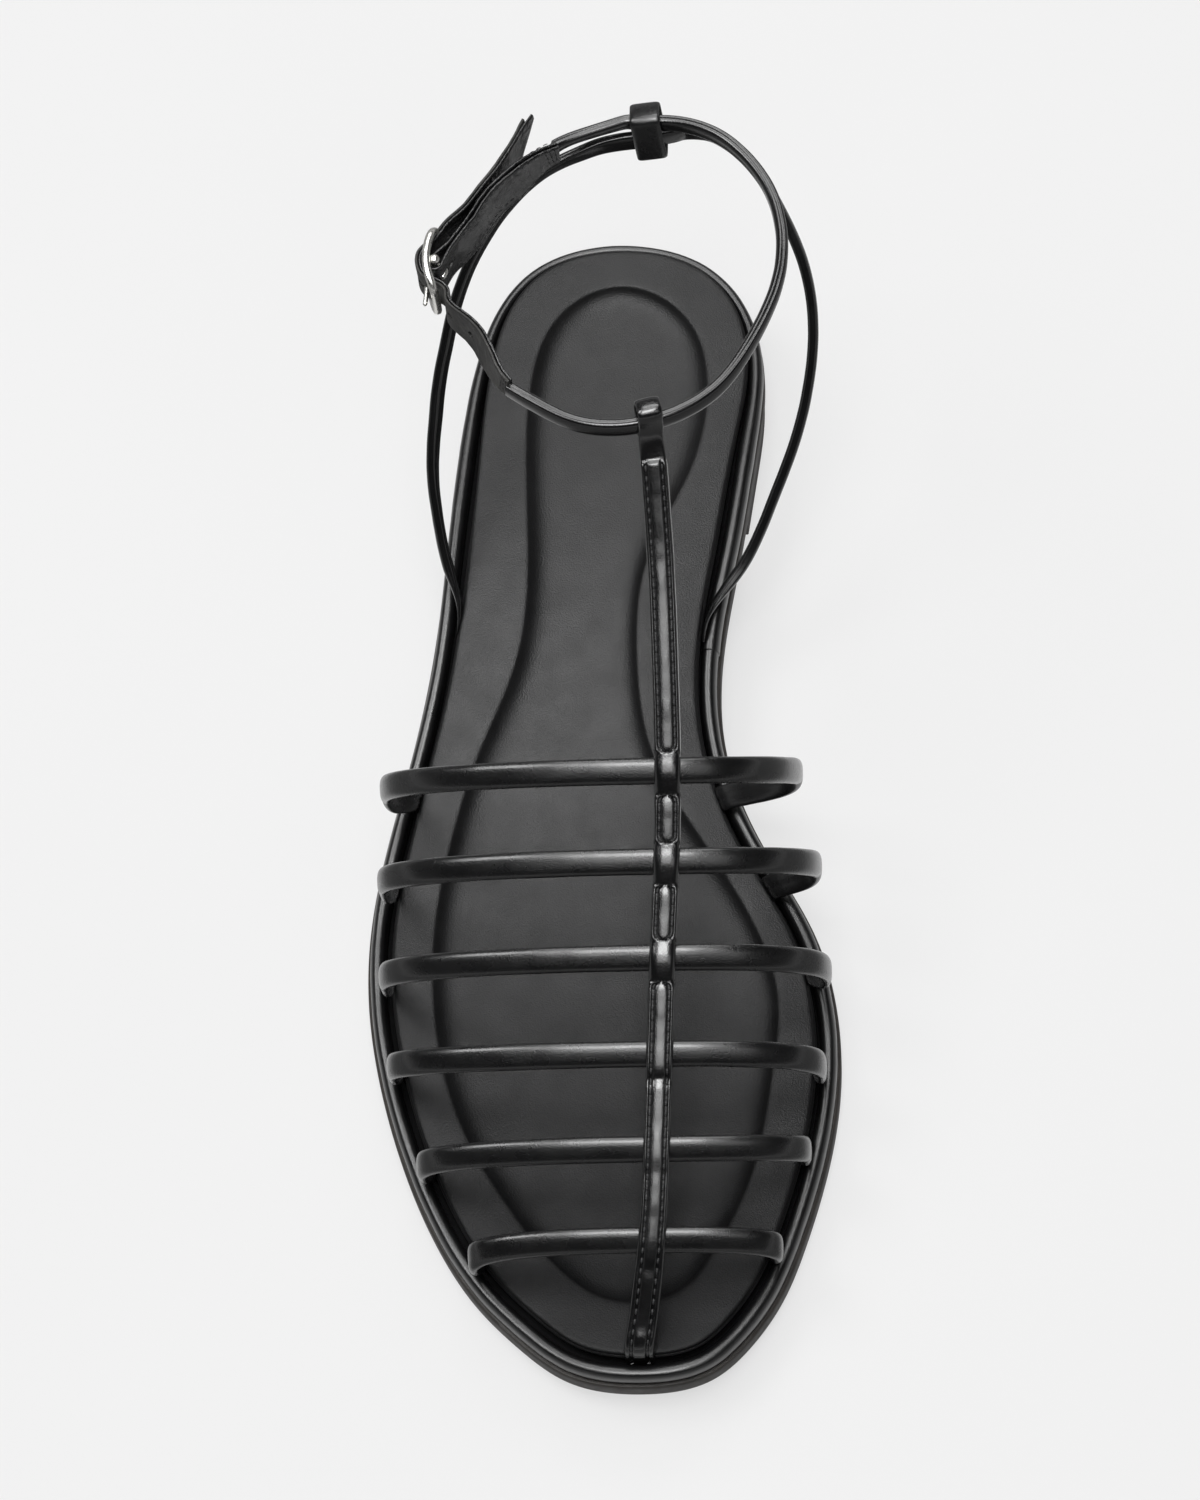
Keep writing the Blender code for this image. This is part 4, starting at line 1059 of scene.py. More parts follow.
def build_stitches(name, paths, material, pitch=STITCH_PITCH, length=STITCH_LENGTH, radius=STITCH_RADIUS):
    """One mesh of small tapered stitches along each path, their ends dipping into the leather."""
    ring = 6
    shares = (-1.0, -0.8, -0.4, 0.0, 0.4, 0.8, 1.0)
    points, faces = [], []
    for line, out in paths:
        far = travelled(line)
        count = max(1, int(round((far[-1] - length) / pitch)) + 1)
        for middle in np.linspace(length / 2.0, far[-1] - length / 2.0, count):
            base = len(points)
            for share in shares:
                at = middle + share * length / 2.0
                centre = columns_at(at, far, line)
                up = columns_at(middle, far, out)
                along = columns_at(at + 0.1, far, line) - columns_at(at - 0.1, far, line)
                along /= np.linalg.norm(along) + 1e-9
                side = np.cross(along, up)
                size = radius * max(0.25, (1.0 - share ** 2) ** 0.4)
                centre = centre - up * (radius * 1.5 * share ** 4)
                for k in range(ring):
                    angle = 2.0 * pi * k / ring
                    points.append(centre + side * size * 1.15 * cos(angle) + up * size * sin(angle))
            faces += strip_faces(len(shares), ring, first=base)
            faces.append(tuple(base + k for k in range(ring)))
            faces.append(tuple(base + (len(shares) - 1) * ring + k for k in range(ring)))
    return make_mesh(name, points, faces, material)


# ---------------------------------------------------------------- bands, ankle strap and sling

def rounded_loop(half_a, half_b, corner, per_corner, per_side, bulge):
    """Closed loop of (a, b) points round a rectangle with round corners and slightly full sides."""
    points = []
    for quarter, (sign_a, sign_b) in enumerate([(1, 1), (-1, 1), (-1, -1), (1, -1)]):
        for k in range(per_corner):
            angle = (quarter + k / (per_corner - 1.0)) * pi / 2.0
            points.append((sign_a * (half_a - corner) + corner * cos(angle),
                           sign_b * (half_b - corner) + corner * sin(angle)))
        start = np.array(points[-1])
        turn = (quarter + 1) * pi / 2.0
        side_length = 2.0 * ((half_a if quarter % 2 == 0 else half_b) - corner)
        heading = np.array([-sin(turn), cos(turn)])
        out = np.array([cos(turn), sin(turn)])
        for k in range(1, per_side):
            share = k / per_side
            swell = bulge * (1.0 - (2.0 * share - 1.0) ** 2)
            points.append(tuple(start + heading * side_length * share + out * swell))
    return np.array(points)


BAND_CORNER = 1.3


def build_band(name, centre, half_depth, half_height, tall, through, width, thickness, material):
    """Closed leather band round the straps that run through it."""
    tall = np.array(tall) / np.linalg.norm(tall)
    deep = np.cross(tall, through)
    deep /= np.linalg.norm(deep)
    through = np.cross(deep, tall)
    loop = rounded_loop(half_depth, half_height, BAND_CORNER, 10, 8, 0.12)
    route = np.array(centre) + loop[:, :1] * deep + loop[:, 1:] * tall
    ring_width, ring_depth = super_ring(28, 6.0, 2.2)
    half_width = width / 2.0 + soft_noise(route, 4.0, 5) * 0.06
    widths = half_width[:, None] * ring_width
    depths = np.broadcast_to(thickness / 2.0 * ring_depth, widths.shape)
    depths = depths + soft_noise(route, 2.5, 6)[:, None] * 0.05
    return skin(name, swept(route, through, widths, depths, closed=True), material, closed=True)


def build_keeper(material):
    depth = KEEPER_HALF_ROOM + KEEPER_THICKNESS / 2.0
    spread = KEEPER_SPREAD + SLING_HEIGHT / 2.0 + GAP + 0.1 + KEEPER_THICKNESS / 2.0
    band = build_band("keeper_band", KEEPER_CENTRE, depth, spread, KEEPER_TALL, (1.0, 0.0, 0.0),
                      KEEPER_WIDTH, KEEPER_THICKNESS, material)
    return place(band, "keeper_leather", "heel_keeper")


def leaning(degrees):
    """Width directions of a strap whose top leans towards the heel."""
    lean = np.radians(degrees)
    return np.column_stack([0.0 * lean, np.sin(lean), np.cos(lean)])


# seam groove of the narrow rolled straps: place and half width, as shares of half the strap's depth
CREASE_AT, CREASE_HALF = 0.25, 0.22
CREASE_DEPTH = 0.22


def rolled_rows(route, across, height, half_depth, seed):
    """Ring rows of a narrow rolled strap with a fine seam groove along its top edge."""
    width, depth = super_ring(40, 3.2, 2.6)
    half_width = height / 2.0 + soft_noise(route, 7.0, seed) * 0.04
    widths = half_width[:, None] * width
    depths = half_depth[:, None] * depth
    crown = np.clip(width, 0.0, 1.0) ** 6
    crease = np.exp(-((depth - CREASE_AT) / CREASE_HALF) ** 2) * crown
    widths = widths - CREASE_DEPTH * crease
    depths = depths + soft_noise(route, 4.0, seed + 3)[:, None] * 0.04
    return swept(route, across, widths, depths)


def build_ankle_strap(material):
    """Rolled strap from the tongue joint round the ankle to the buckle tab."""
    rows = even_points(ANKLE_ROUTE, 330)
    half = np.full(len(rows), ANKLE_THICKNESS / 2.0)
    ring = rolled_rows(rows[:, :3], leaning(rows[:, 3]), ANKLE_HEIGHT, half, 41)
    return place(skin("ankle_strap_roll", ring, material), "ankle_leather", "ankle_strap")


def build_sling(material):
    """Rolled strap from the groove on one side, up behind the heel and down the other side."""
    low, high = SLING_SLOPE
    ends = {}
    for side, (deck_y, mouth_y) in SLING_ENDS.items():
        bottom = float(lift(deck_y)) + DECK + GAP + SLING_HEIGHT / 2.0 * high + 0.1
        top = bottom + (mouth_y - deck_y) * low / high
        deck_x = groove_place(deck_y, side)[0][0]
        mouth_x = groove_place(mouth_y, side)[0][0] + SLING_MOUTH_OUT[side]
        deck_x += 0.7 * SLING_MOUTH_OUT[side]
        ends[side] = [(deck_x, deck_y, bottom, SLING_SIDE_LEAN), (mouth_x, mouth_y, top, SLING_SIDE_LEAN)]
    rows = even_points(ends[-1] + SLING_ROUTE + ends[1][::-1], 420)
    route = rows[:, :3]
    across = leaning(rows[:, 3])
    outer = smooth_step(2.0, -10.0, route[:, 0])
    sink = smooth_step(56.0, 70.0, route[:, 2]) * outer
    tuck = smooth_step(36.0, 48.0, route[:, 2]) * smooth_step(64.0, 54.0, route[:, 2]) * outer
    route = route + np.array(SLING_SINK) * sink[:, None] + np.array(SLING_TUCK) * tuck[:, None]
    turn = SLING_TURN * smooth_step(30.0, 50.0, route[:, 2]) * smooth_step(0.0, -14.0, route[:, 0])
    across = across + np.column_stack([-turn, 0.0 * turn, 0.0 * turn])
    far = travelled(route)
    for side, distance in ((-1, far), (1, far[-1] - far)):
        direction = groove_place(SLING_ENDS[side][0], side)[1]
        sunk = np.array([-low * direction[0] / direction[1], -low, high])
        blend = (1.0 - smooth_step(4.0, 10.0, distance))[:, None]
        across = across * (1.0 - blend) + sunk * blend
    near = np.minimum(far, far[-1] - far)
    half = from_table(SLING_TAPER, near) / 2.0
    ring = rolled_rows(route, across, SLING_HEIGHT, half, 51)
    return place(skin("heel_sling_roll", ring, material), "sling_leather", "heel_sling")


# ---------------------------------------------------------------- flat ends and buckle

def sideways(line):
    """Level unit directions across an upright strip's line."""
    along = unit_rows(np.gradient(line[:, :2], axis=0))
    return np.column_stack([along[:, 1], -along[:, 0], 0.0 * along[:, 0]])


def offset_line(line, distance):
    return line + sideways(line) * distance


TAB_SKIRT = 0.22
TONGUE_TIP = 9.0
TONGUE_LAYER = 0.6
TONGUE_SEAM = 0.06
TONGUE_SPLIT = 6.0
TONGUE_GAPE = 0.3
HOLE_SPACING = 6.4
HOLE_RADIUS = 0.75
CUT_REACH = 1.6
TAB_SPACING = 0.45
# height of the tab's stitch rows from its middle line
ROW_HEIGHT = 3.7
# places of the holes beside the prong's, counted in hole spacings from it towards the free end
SPARE_HOLES = (-2.6, -1.6, 2, 3)
# pitch, length and radius of the stitches in the flat ends
FINE_STITCHES = (1.7, 1.15, 0.09)
# round edge of a flat strip: how far it stands out and its depth, as shares of half the thickness
FLAT_EDGE = [(0.7, 0.7), (1.0, 0.0), (0.7, -0.7)]
# how much of its lost half height the point at the free end rises by
TIP_RISE = 0.75
# over this length a flat end narrows, to these shares of its halves, where it meets the rolled strap
JOINT_REACH = 11.0
JOINT_BELOW = 0.42
JOINT_ABOVE = 0.74


def flat_rows(route, half_tall, thickness, crumple, seed, tip=0.0, skirt=0.0, joints=(True, False)):
    """Ring rows of an upright flat strip that is creased like worn leather and may end in a point."""
    rows, columns = len(route), 17
    share = np.linspace(1.0, -1.0, columns)
    far = travelled(route)
    left = far[-1] - far
    half = np.full(rows, half_tall)
    if tip:
        half = half_tall * np.clip(0.12 + 0.88 * (left / tip), 0.12, 1.0) ** 0.8
    faces = thickness / 2.0
    ring = []
    for side in (1.0, -1.0):
        ring += [(w * side, faces * side, 0.0) for w in share]
        ring += [(-side, faces * side * d, -faces * side * bulge) for bulge, d in FLAT_EDGE]
    ring_w, ring_d, outward_w = np.array(ring).T
    inset = half - faces
    widths = inset[:, None] * ring_w + outward_w + TIP_RISE * (half_tall - half)[:, None]
    depths = np.broadcast_to(ring_d, widths.shape).copy()
    place_u = np.column_stack([np.repeat(far, len(ring_w)), widths.ravel(), np.zeros(widths.size)])
    broad = soft_noise(place_u, 5.0, seed).reshape(widths.shape)
    ridge = 1.0 - 2.0 * np.abs(soft_noise(place_u * (1.0, 0.6, 1.0), 2.6, seed + 2)).reshape(widths.shape)
    depths += crumple * (broad + 0.35 * ridge)
    widths += 0.5 * crumple * soft_noise(place_u, 3.5, seed + 4).reshape(widths.shape)
    narrow = np.zeros(len(far))
    for at_joint, reach in zip(joints, (far, left)):
        if at_joint:
            narrow = np.maximum(narrow, 1.0 - smooth_step(0.0, JOINT_REACH, reach))
    below = (1.0 + skirt) * (1.0 - narrow) + JOINT_BELOW * narrow
    above = 1.0 - narrow + JOINT_ABOVE * narrow
    widths = widths * np.where(widths < 0.0, below[:, None], above[:, None])
    return swept(route, (0.0, 0.0, 1.0), widths, depths)


def cut_out(piece, cutters):
    """Cut the helpers out of a piece and keep the plain result."""
    for cutter in cutters:
        step = piece.modifiers.new("cut", "BOOLEAN")
        step.operation = "DIFFERENCE"
        step.solver = "EXACT"
        step.object = cutter
    bpy.context.view_layer.update()
    result = bpy.data.meshes.new_from_object(piece.evaluated_get(bpy.context.evaluated_depsgraph_get()))
    piece.modifiers.clear()
    piece.data = result
    result.set_sharp_from_angle(angle=radians(60.0))
    for cutter in cutters:
        bpy.data.objects.remove(cutter, do_unlink=True)
    return piece


def copy_of(piece):
    """A second object with the same mesh."""
    twin = piece.copy()
    bpy.context.collection.objects.link(twin)
    return twin


def punch(name, centre, direction, half_length, radius_flat, radius_up):
    """Oval cutter through a strip, along a level direction."""
    direction = np.array([*direction, 0.0]) / np.linalg.norm(direction)
    side = np.array([-direction[1], direction[0], 0.0])
    rows = []
    for reach in (-half_length, half_length):
        ring = []
        for k in range(20):
            angle = 2.0 * pi * k / 20.0
            across = side * radius_flat * cos(angle) + np.array([0.0, 0.0, radius_up * sin(angle)])
            ring.append(np.array(centre) + direction * reach + across)
        rows.append(ring)
    return skin(name, rows, None)


# how far the free stretch of the tab and the tongue beside it sinks in from the straight line
SAG = (0.75, -0.55, -0.35)
TACK_ROWS = 3
TACK_STEP = 0.9
TACK_HALF = 3.3
TACK_LOW = -1.1


def bar_tack(line, out, off, seed):
    """Crowded upright stitches, a little astray, where a flat strip is sewn to the rolled strap."""
    far = travelled(line)
    paths = []
    for row in range(TACK_ROWS):
        astray = 0.35 * sin(7.0 * row + 2.0 * seed)
        heights = np.linspace(TACK_LOW, TACK_HALF, 9)
        reach = 0.7 + TACK_STEP * row + astray * heights / TACK_HALF
        face = columns_at(reach, far, out)
        spots = columns_at(reach, far, line) + face * off
        spots = spots + np.column_stack([0.0 * reach, 0.0 * reach, heights])
        paths.append((spots, face))
    return paths


# sideways lean of the flat ends, x and y for each millimetre of height
FRONT_LEAN = (0.135, 0.08)
BACK_LEAN = (0.085, -0.065)


def lean_over(piece):
    """Tilt a flat end's top edge towards the ankle before the buckle and its lower edge behind it."""
    points = np.empty(3 * len(piece.data.vertices))
    piece.data.vertices.foreach_get("co", points)
    points = points.reshape(-1, 3) / MM
    ahead = np.array(TONGUE_ROUTE[:6])
    y, z = points[:, 1], points[:, 2]
    rise = z - np.interp(y, ahead[:, 1], ahead[:, 2]) + TAB_HEIGHT / 2.0 * smooth_step(57.0, 64.0, y)
    front = rise * smooth_step(80.0, 67.0, y)
    back = (BUCKLE_Z + TAB_HEIGHT / 2.0 - z) * smooth_step(85.5, 91.0, y)
    points[:, :2] += front[:, None] * FRONT_LEAN + back[:, None] * BACK_LEAN
    piece.data.vertices.foreach_set("co", (points * MM).ravel())
    piece.data.update()
    return piece


def sagged(line, share):
    """A flat strip's middle line with its free stretch sunk towards the ankle by a share of SAG."""
    return line + np.array(SAG) * np.asarray(share)[:, None]


def build_buckle_tab(material, thread):
    """Flat strip folded round the buckle's bar, its two layers lying side by side."""
    line = even_points(TAB_ROUTE, 80)
    left = travelled(line)[-1] - travelled(line)
    line = sagged(line, smooth_step(3.0, 11.0, left) + 0.4 * smooth_step(16.0, 24.0, left))
    spread = (TAB_LAYER + GAP) / 2.0
    fold_radius = BAR_RADIUS + GAP + TAB_LAYER / 2.0
    turned = np.radians(np.linspace(-30.0, -225.0, 22))
    fold = np.column_stack([BAR_X + fold_radius * np.cos(turned), BAR_Y + fold_radius * np.sin(turned),
                            np.full(len(turned), BUCKLE_Z)])
    inner = offset_line(line, -spread)
    outer = offset_line(line, spread)
    strip = np.vstack([inner[:-3], fold, outer[:-3][::-1]])
    strip = resampled(strip, TAB_SPACING)
    rows = flat_rows(strip, TAB_HEIGHT / 2.0, TAB_LAYER, 0.16, 61, skirt=TAB_SKIRT, joints=(True, True))
    tab = skin("buckle_tab_leather", rows, material)
    slot = punch("prong_slot", (BAR_X, BAR_Y - 0.2, BUCKLE_Z), (1.0, 0.0), 3.2, 3.0, PRONG_RADIUS + 0.35)
    place(lean_over(cut_out(tab, [slot])), "tab_leather", "buckle_tab")
    paths = []
    for side in (-1.0, 1.0):
        face = offset_line(line, side * (spread + TAB_LAYER / 2.0 + 0.04))
        out = sideways(face) * side
        for height in (-ROW_HEIGHT, ROW_HEIGHT):
            raised_line = face + np.array([0.0, 0.0, height])
            first = 3 if height > 0.0 else 30
            paths.append((raised_line[first:70], out[first:70]))
        paths += bar_tack(line, out, spread + TAB_LAYER / 2.0 + 0.1, 0)
    place(lean_over(build_stitches("buckle_tab_stitching", paths, thread, *FINE_STITCHES)), "tab_leather")


def build_tongue(material, lining_sheen, thread):
    """Flat holed strip that goes through the buckle and ends in a point."""
    line = even_points(TONGUE_ROUTE, 190)
    past = travelled(line) - travelled(line)[int(np.argmax(line[:, 1] > FRAME_MIDDLE_Y + FRAME_HALF_LENGTH))]
    left = travelled(line)[-1] - travelled(line)
    line = sagged(line, smooth_step(1.0, 8.0, past) * smooth_step(0.0, 14.0, left))
    layers = []
    # the inner layer is the lining: its lighter grey also paints highlight on its face and along its top
    # edges
    for name, side, short in (("tongue_leather", 1.0, 0), ("tongue_lining", -1.0, 4)):
        part = 1.0 - smooth_step(0.0, TONGUE_SPLIT, travelled(line)[-1] - travelled(line))
        apart = side * (TONGUE_LAYER / 2.0 + TONGUE_SEAM / 2.0 + TONGUE_GAPE * part)
        layer = offset_line(line, apart[:, None])
        layer = layer[:len(layer) - short]
        rows = flat_rows(layer, TAB_HEIGHT / 2.0, TONGUE_LAYER, 0.14, 71, TONGUE_TIP)
        layers.append(skin(name, rows, material if side > 0.0 else lining_sheen))
    far = travelled(line)
    hole_x, hole_y = PRONG_HOLE
    first = far[int(np.argmin(np.hypot(line[:, 0] - hole_x, line[:, 1] - hole_y)))]
    cutters = [punch("prong_hole", (hole_x, hole_y, BUCKLE_Z), (0.9, -0.3), CUT_REACH, 1.3,
                     PRONG_RADIUS + 0.4)]
    along = np.gradient(line, axis=0)
    for number in SPARE_HOLES:
        k = int(np.argmin(np.abs(far - first - number * HOLE_SPACING)))
        normal = (along[k, 1], -along[k, 0])
        cutters.append(punch("spare_hole", line[k], normal, CUT_REACH, HOLE_RADIUS, HOLE_RADIUS))
    for layer in layers:
        holed = cut_out(layer, [copy_of(cutter) for cutter in cutters])
        place(lean_over(holed), "tongue_leather", "tongue_tab")
    for cutter in cutters:
        bpy.data.objects.remove(cutter, do_unlink=True)
    paths = []
    for side in (-1.0, 1.0):
        paths += bar_tack(line, sideways(line) * side, TONGUE_THICKNESS / 2.0 + 0.08, 1)
    place(lean_over(build_stitches("tongue_stitching", paths, thread, *FINE_STITCHES)), "tongue_leather")


# columns: share of the bar's half length, radius there for a bar of radius 0.8; its tip first
BAR_END = [(1.0, 0.3), (0.97, 0.85), (0.9, 1.1), (0.84, 0.95), (0.80, 0.8)]


def build_buckle(material):
    """Bowed rounded frame of plated wire with its bar."""
    loop = rounded_loop(FRAME_HALF_LENGTH, FRAME_HALF_HEIGHT, FRAME_CORNER, 14, 10, 0.15)
    bow = FRAME_BOW * (loop[:, 0] / FRAME_HALF_LENGTH) ** 2
    route = np.column_stack([FRAME_X + bow, FRAME_MIDDLE_Y + loop[:, 0], BUCKLE_Z + loop[:, 1]])
    width, depth = super_ring(20, 2.3, 2.3)
    widths = np.broadcast_to(FRAME_WIRE * width, (len(route), 20))
    depths = np.broadcast_to(FRAME_WIRE * depth, (len(route), 20))
    rows = swept(route, (1.0, 0.0, 0.0), widths, depths, closed=True)
    place(skin("buckle_frame_wire", rows, material, closed=True), "buckle_metal", "buckle_frame")
    ends = np.array(BAR_END)
    heights = np.concatenate([-ends[:, 0], ends[::-1, 0]]) * (FRAME_HALF_HEIGHT + 0.3)
    radii = np.concatenate([ends[:, 1], ends[::-1, 1]]) * BAR_RADIUS / 0.8
    angle = np.linspace(0.0, 2.0 * pi, 20, endpoint=False)
    rows = [np.column_stack([BAR_X + r * np.cos(angle), BAR_Y + r * np.sin(angle), np.full(20, BUCKLE_Z + z)])
            for z, r in zip(heights, radii)]
    place(skin("buckle_bar", rows, material), "buckle_metal", "buckle_frame")


def build_prong(material):
    """Hooked round the bar and tapering to a rounded tip that rests on the frame."""
    route = even_points([(BAR_X + x, BAR_Y + y, BUCKLE_Z) for x, y in PRONG_ROUTE], 60)
    far = travelled(route)
    left = far[-1] - far
    size = PRONG_RADIUS * (0.78 + 0.22 * smooth_step(0.0, 5.0, left))
    ends = np.minimum(left, far)
    size = size * np.sqrt(np.clip(1.0 - (1.0 - np.clip(ends / 0.6, 0.02, 1.0)) ** 2, 0.0, 1.0))
    width, depth = super_ring(16, 2.2, 2.2)
    rows = swept(route, (0.0, 0.0, 1.0), size[:, None] * width, size[:, None] * depth)
    return place(skin("buckle_prong_pin", rows, material), "prong_metal", "buckle_prong")


# ---------------------------------------------------------------- floor, light and camera

# metres from the middle of the floor to its sides
FLOOR_HALF = 9.0
FLOOR_ALBEDO = 0.18
FLOOR_GLOW = 0.645
# light that the floor throws on the shoe: strongest close to it, none at the edge of the light table
NEAR_GLOW = 0.42
NEAR_REACH = (0.085, 0.15)
NEAR_RANGE = (0.9, 1.25)


def build_floor():
    """Pale, softly glowing table that lights the shoe less than its own looks, so the blacks stay deep."""
    half = FLOOR_HALF
    mesh = bpy.data.meshes.new("floor")
    mesh.from_pydata([(-half, -half, 0.0), (half, -half, 0.0), (half, half, 0.0), (-half, half, 0.0)],
                     [], [(0, 1, 2, 3)])
    floor = bpy.data.objects.new("floor", mesh)
    bpy.context.collection.objects.link(floor)
    low, high = (FLOOR_ALBEDO - 0.005,) * 3, (FLOOR_ALBEDO + 0.005,) * 3
    material, tree, shader, place_socket = finish_material("floor_paper", low, 0.85)
    shader.inputs["Specular IOR Level"].default_value = 0.1
    shader.inputs["Emission Color"].default_value = (1.0, 1.0, 1.0, 1.0)
    seen = node(tree, "ShaderNodeLightPath")
    scaled = node(tree, "ShaderNodeMapping", Scale=(1.0 / NEAR_REACH[0], 1.0 / NEAR_REACH[1], 0.0))
    tree.links.new(place_socket, scaled.inputs["Vector"])
    away = node(tree, "ShaderNodeVectorMath", operation="LENGTH")
    tree.links.new(scaled.outputs["Vector"], away.inputs["Vector"])
    near = node(tree, "ShaderNodeMapRange", From_Min=NEAR_RANGE[0], From_Max=NEAR_RANGE[1],
                To_Min=NEAR_GLOW, To_Max=0.0)
    tree.links.new(away.outputs["Value"], near.inputs["Value"])
    glow = node(tree, "ShaderNodeMapRange", To_Max=FLOOR_GLOW)
    tree.links.new(seen.outputs["Is Camera Ray"], glow.inputs["Value"])
    tree.links.new(near.outputs["Result"], glow.inputs["To Min"])
    tree.links.new(glow.outputs["Result"], shader.inputs["Emission Strength"])
    varied(tree, place_socket, 300.0, low, high, shader.inputs["Base Color"])
    mesh.materials.append(material)


def facing(ahead, hint):
    """Rotation that looks along a direction with its top towards the hint."""
    right = ahead.cross(hint).normalized()
    return Matrix((right, right.cross(ahead), -ahead)).transposed().to_euler()


def add_light(name, location, target, size, power):
    lamp = bpy.data.lights.new(name, "AREA")
    lamp.shape = "RECTANGLE"
    lamp.size, lamp.size_y = size
    lamp.energy = power
    light = bpy.data.objects.new(name, lamp)
    light.location = location
    light.rotation_euler = facing((target - location).normalized(), Vector((0.0, 1.0, 0.0)))
    bpy.context.collection.objects.link(light)


# the studio round the light table: a pale backdrop low down, dark above it
BACKDROP_LIGHT = 0.60
BACKDROP_TOP = (0.10, 0.26)
ROOM_LIGHT = 0.012
LAMP_DISTANCE = 2.0
# rows: name, degrees from overhead towards +X and +Y, width and length in degrees, watts
LAMPS = [
    ("overhead_softbox", (0.0, 2.0), (26.0, 68.0), 27.0),
    ("softbox_core", (0.0, -2.0), (18.0, 22.0), 14.0),
    ("lateral_fill", (-30.0, 13.0), (21.0, 24.0), 15.0),
    ("medial_fill", (25.0, -28.0), (20.0, 20.0), 1.8),
    ("heel_panel", (4.0, 48.0), (30.0, 16.0), 9.0),
]


def build_studio():
    world = bpy.data.worlds.new("studio")
    bpy.context.scene.world = world
    world.use_nodes = True
    tree = world.node_tree
    way = node(tree, "ShaderNodeTexCoord")
    parts = node(tree, "ShaderNodeSeparateXYZ")
    tree.links.new(way.outputs["Generated"], parts.inputs["Vector"])
    ramp = node(tree, "ShaderNodeValToRGB")
    for element, place_on, light in zip(ramp.color_ramp.elements, BACKDROP_TOP, (BACKDROP_LIGHT, ROOM_LIGHT)):
        element.position = place_on
        element.color = (light, light, light, 1.0)
    tree.links.new(parts.outputs["Z"], ramp.inputs["Fac"])
    tree.links.new(ramp.outputs["Color"], tree.nodes["Background"].inputs["Color"])
    middle = (CAD_BOX[0] + CAD_BOX[1]) / 2.0
    for name, turned, spread, power in LAMPS:
        offset = Vector((tan(radians(turned[0])), tan(radians(turned[1])), 1.0)).normalized() * LAMP_DISTANCE
        size = [2.0 * LAMP_DISTANCE * tan(radians(angle) / 2.0) for angle in spread]
        add_light(name, middle + offset, middle, size, power)
    bpy.context.scene.view_settings.view_transform = "Standard"


CAMERA_FROM_FLOOR_CENTRE = (0.0575, -0.3731, 0.9735)
AIM_FROM_FLOOR_CENTRE = (0.0011, 0.0018, 0.035)
CAMERA_LENS = 117.0


def build_camera():
    low, high = CAD_BOX
    base = Vector(((low.x + high.x) / 2.0, (low.y + high.y) / 2.0, low.z))
    data = bpy.data.cameras.new("camera")
    data.lens = CAMERA_LENS
    data.clip_end = 10.0
    camera = bpy.data.objects.new("camera", data)
    bpy.context.collection.objects.link(camera)
    camera.location = base + Vector(CAMERA_FROM_FLOOR_CENTRE)
    ahead = (base + Vector(AIM_FROM_FLOOR_CENTRE) - camera.location).normalized()
    camera.rotation_euler = facing(ahead, Vector((0.0, 1.0, 0.0)))
    bpy.context.scene.camera = camera


def check_fit(piece, node_name):
    """Stop if a finished piece has left the place of the solid that it stands for."""
    low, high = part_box(node_name)
    corners = np.array([piece.matrix_world @ Vector(c) for c in piece.bound_box])
    off = max(np.abs(corners.min(axis=0) - low).max(), np.abs(corners.max(axis=0) - high).max())
    if off > FIT * MM:
        raise ValueError(f"{piece.name} is {off / MM:.2f} mm away from {node_name}")


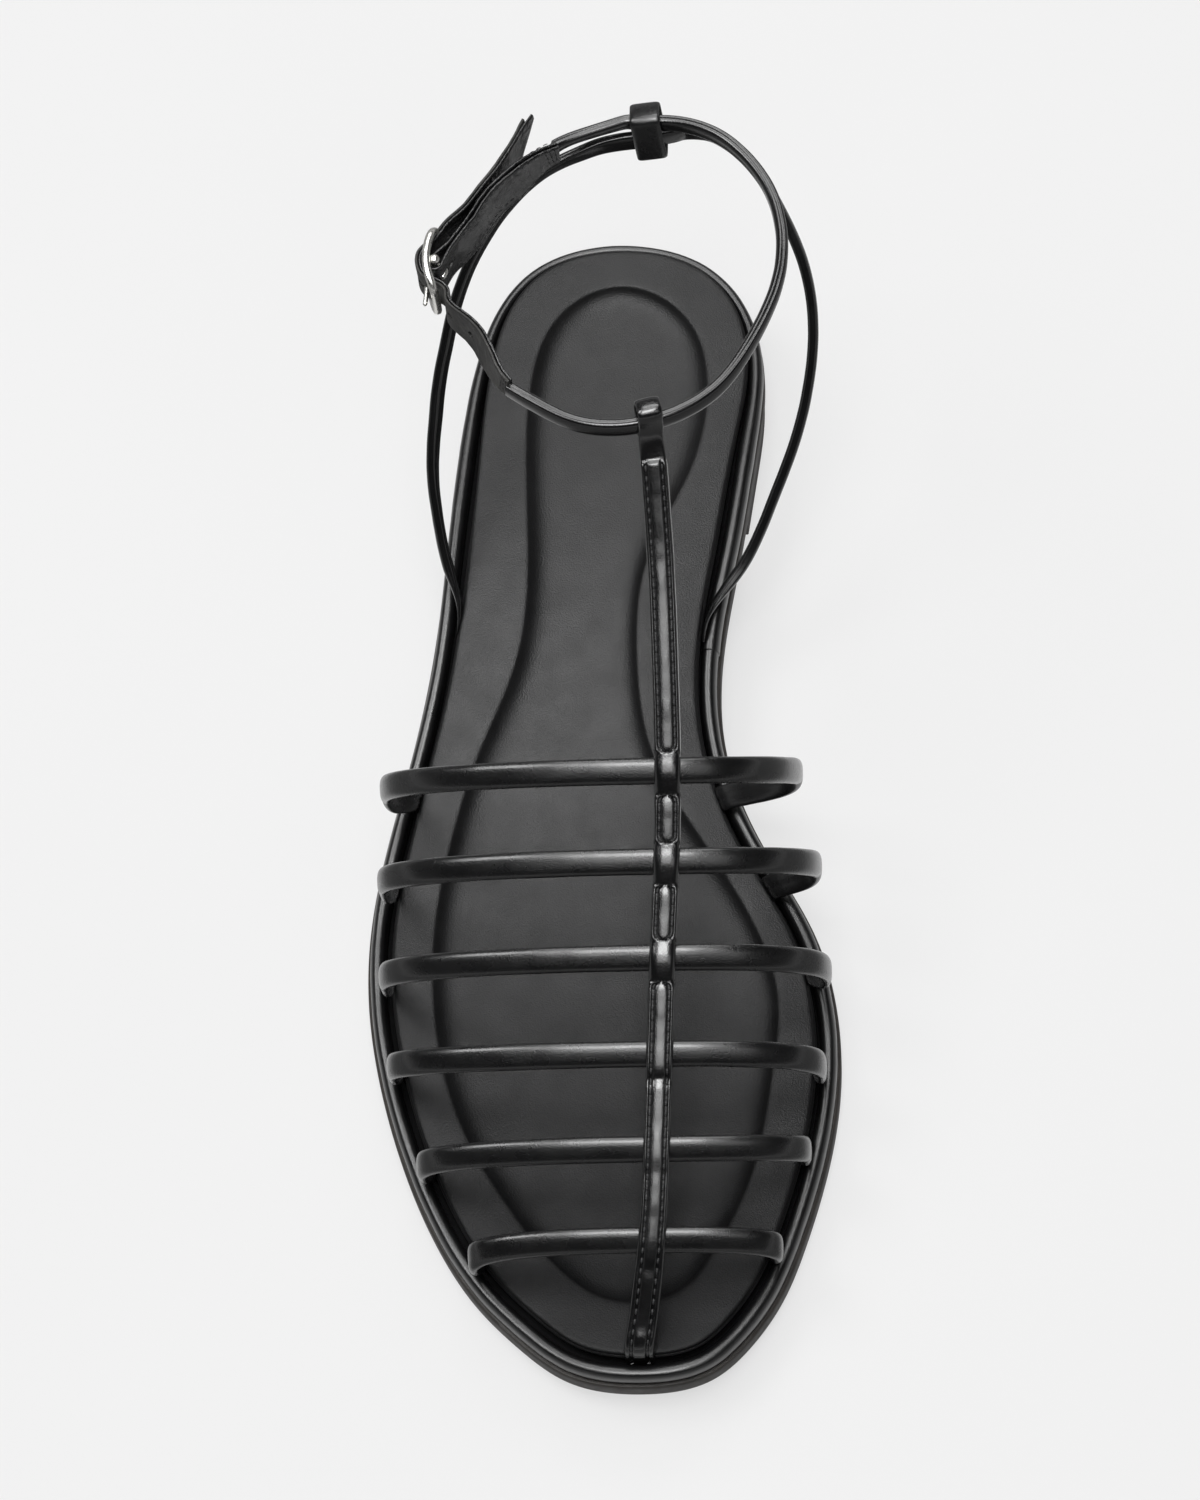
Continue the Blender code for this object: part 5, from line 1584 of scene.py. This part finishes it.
def main():
    strap_leather = leather("strap_leather", BLACK, SOFT_BLACK, (0.23, 0.33), 0.30, 0.045, coat=0.8)
    pad_leather = leather("pad_leather", BLACK, SOFT_BLACK, (0.17, 0.27), 0.30, 0.034, coat=1.0,
                          coat_roughness=0.15)
    wrap_leather = leather("wrap_leather", BLACK, SOFT_BLACK, (0.27, 0.38), 0.30, 0.025, (3.0, 0.09),
                           coat=0.5, coat_roughness=0.26)
    # the footbed's gloss falls towards the toe: painted shade
    bed_leather = leather("bed_leather", BED_DARK, BED_LIGHT, (0.39, 0.47), 0.32, 0.05, gloss=0.385,
                          toe_shade_gloss=0.17)
    worn_leather = leather("worn_leather", BLACK, SOFT_BLACK, (0.20, 0.31), 0.30, 0.035, (1.6, 0.45),
                           coat=0.6)
    thin_leather = leather("thin_leather", BLACK, SOFT_BLACK, (0.16, 0.25), 0.30, 0.018, coat=0.8)
    # glossless black for the groove's floor and deck: painted shade
    deck_shade = leather("groove_deck_shade", BLACK, BLACK, (0.8, 0.9), 0.30, 0.03, gloss=0.08)
    # lighter grey lining, which also paints highlight on the tongue's inner face and top edges
    lining_sheen = leather("tongue_lining", LINING_SHEEN_DARK, LINING_SHEEN_LIGHT, (0.45, 0.65), 0.30, 0.045, (1.6, 0.2))
    sole_rubber = rubber("sole_rubber", SOLE_DARK, SOLE_LIGHT, (0.5, 0.65))
    thread = thread_material("black_thread")
    metal = polished("plated_metal", SILVER)
    pairs = [
        (build_outsole(sole_rubber), "outsole"),
        (build_heel(sole_rubber), "heel"),
        (build_platform(wrap_leather, deck_shade), "platform"),
        (build_footbed(bed_leather), "footbed"),
        (build_ankle_strap(thin_leather), "ankle_strap"),
        (build_sling(thin_leather), "heel_sling"),
        (build_keeper(strap_leather), "heel_keeper"),
        (build_prong(metal), "buckle_prong"),
    ]
    for number, (name, row) in enumerate(CROSS_STRAPS.items()):
        build_cross_strap(name, row, number + 1, strap_leather)
    build_t_strap(pad_leather, thread)
    build_buckle_tab(worn_leather, thread)
    build_tongue(worn_leather, lining_sheen, thread)
    build_buckle(metal)
    for piece, node_name in pairs:
        check_fit(piece, node_name)
    build_floor()
    build_studio()
    build_camera()
    bpy.context.view_layer.update()


main()
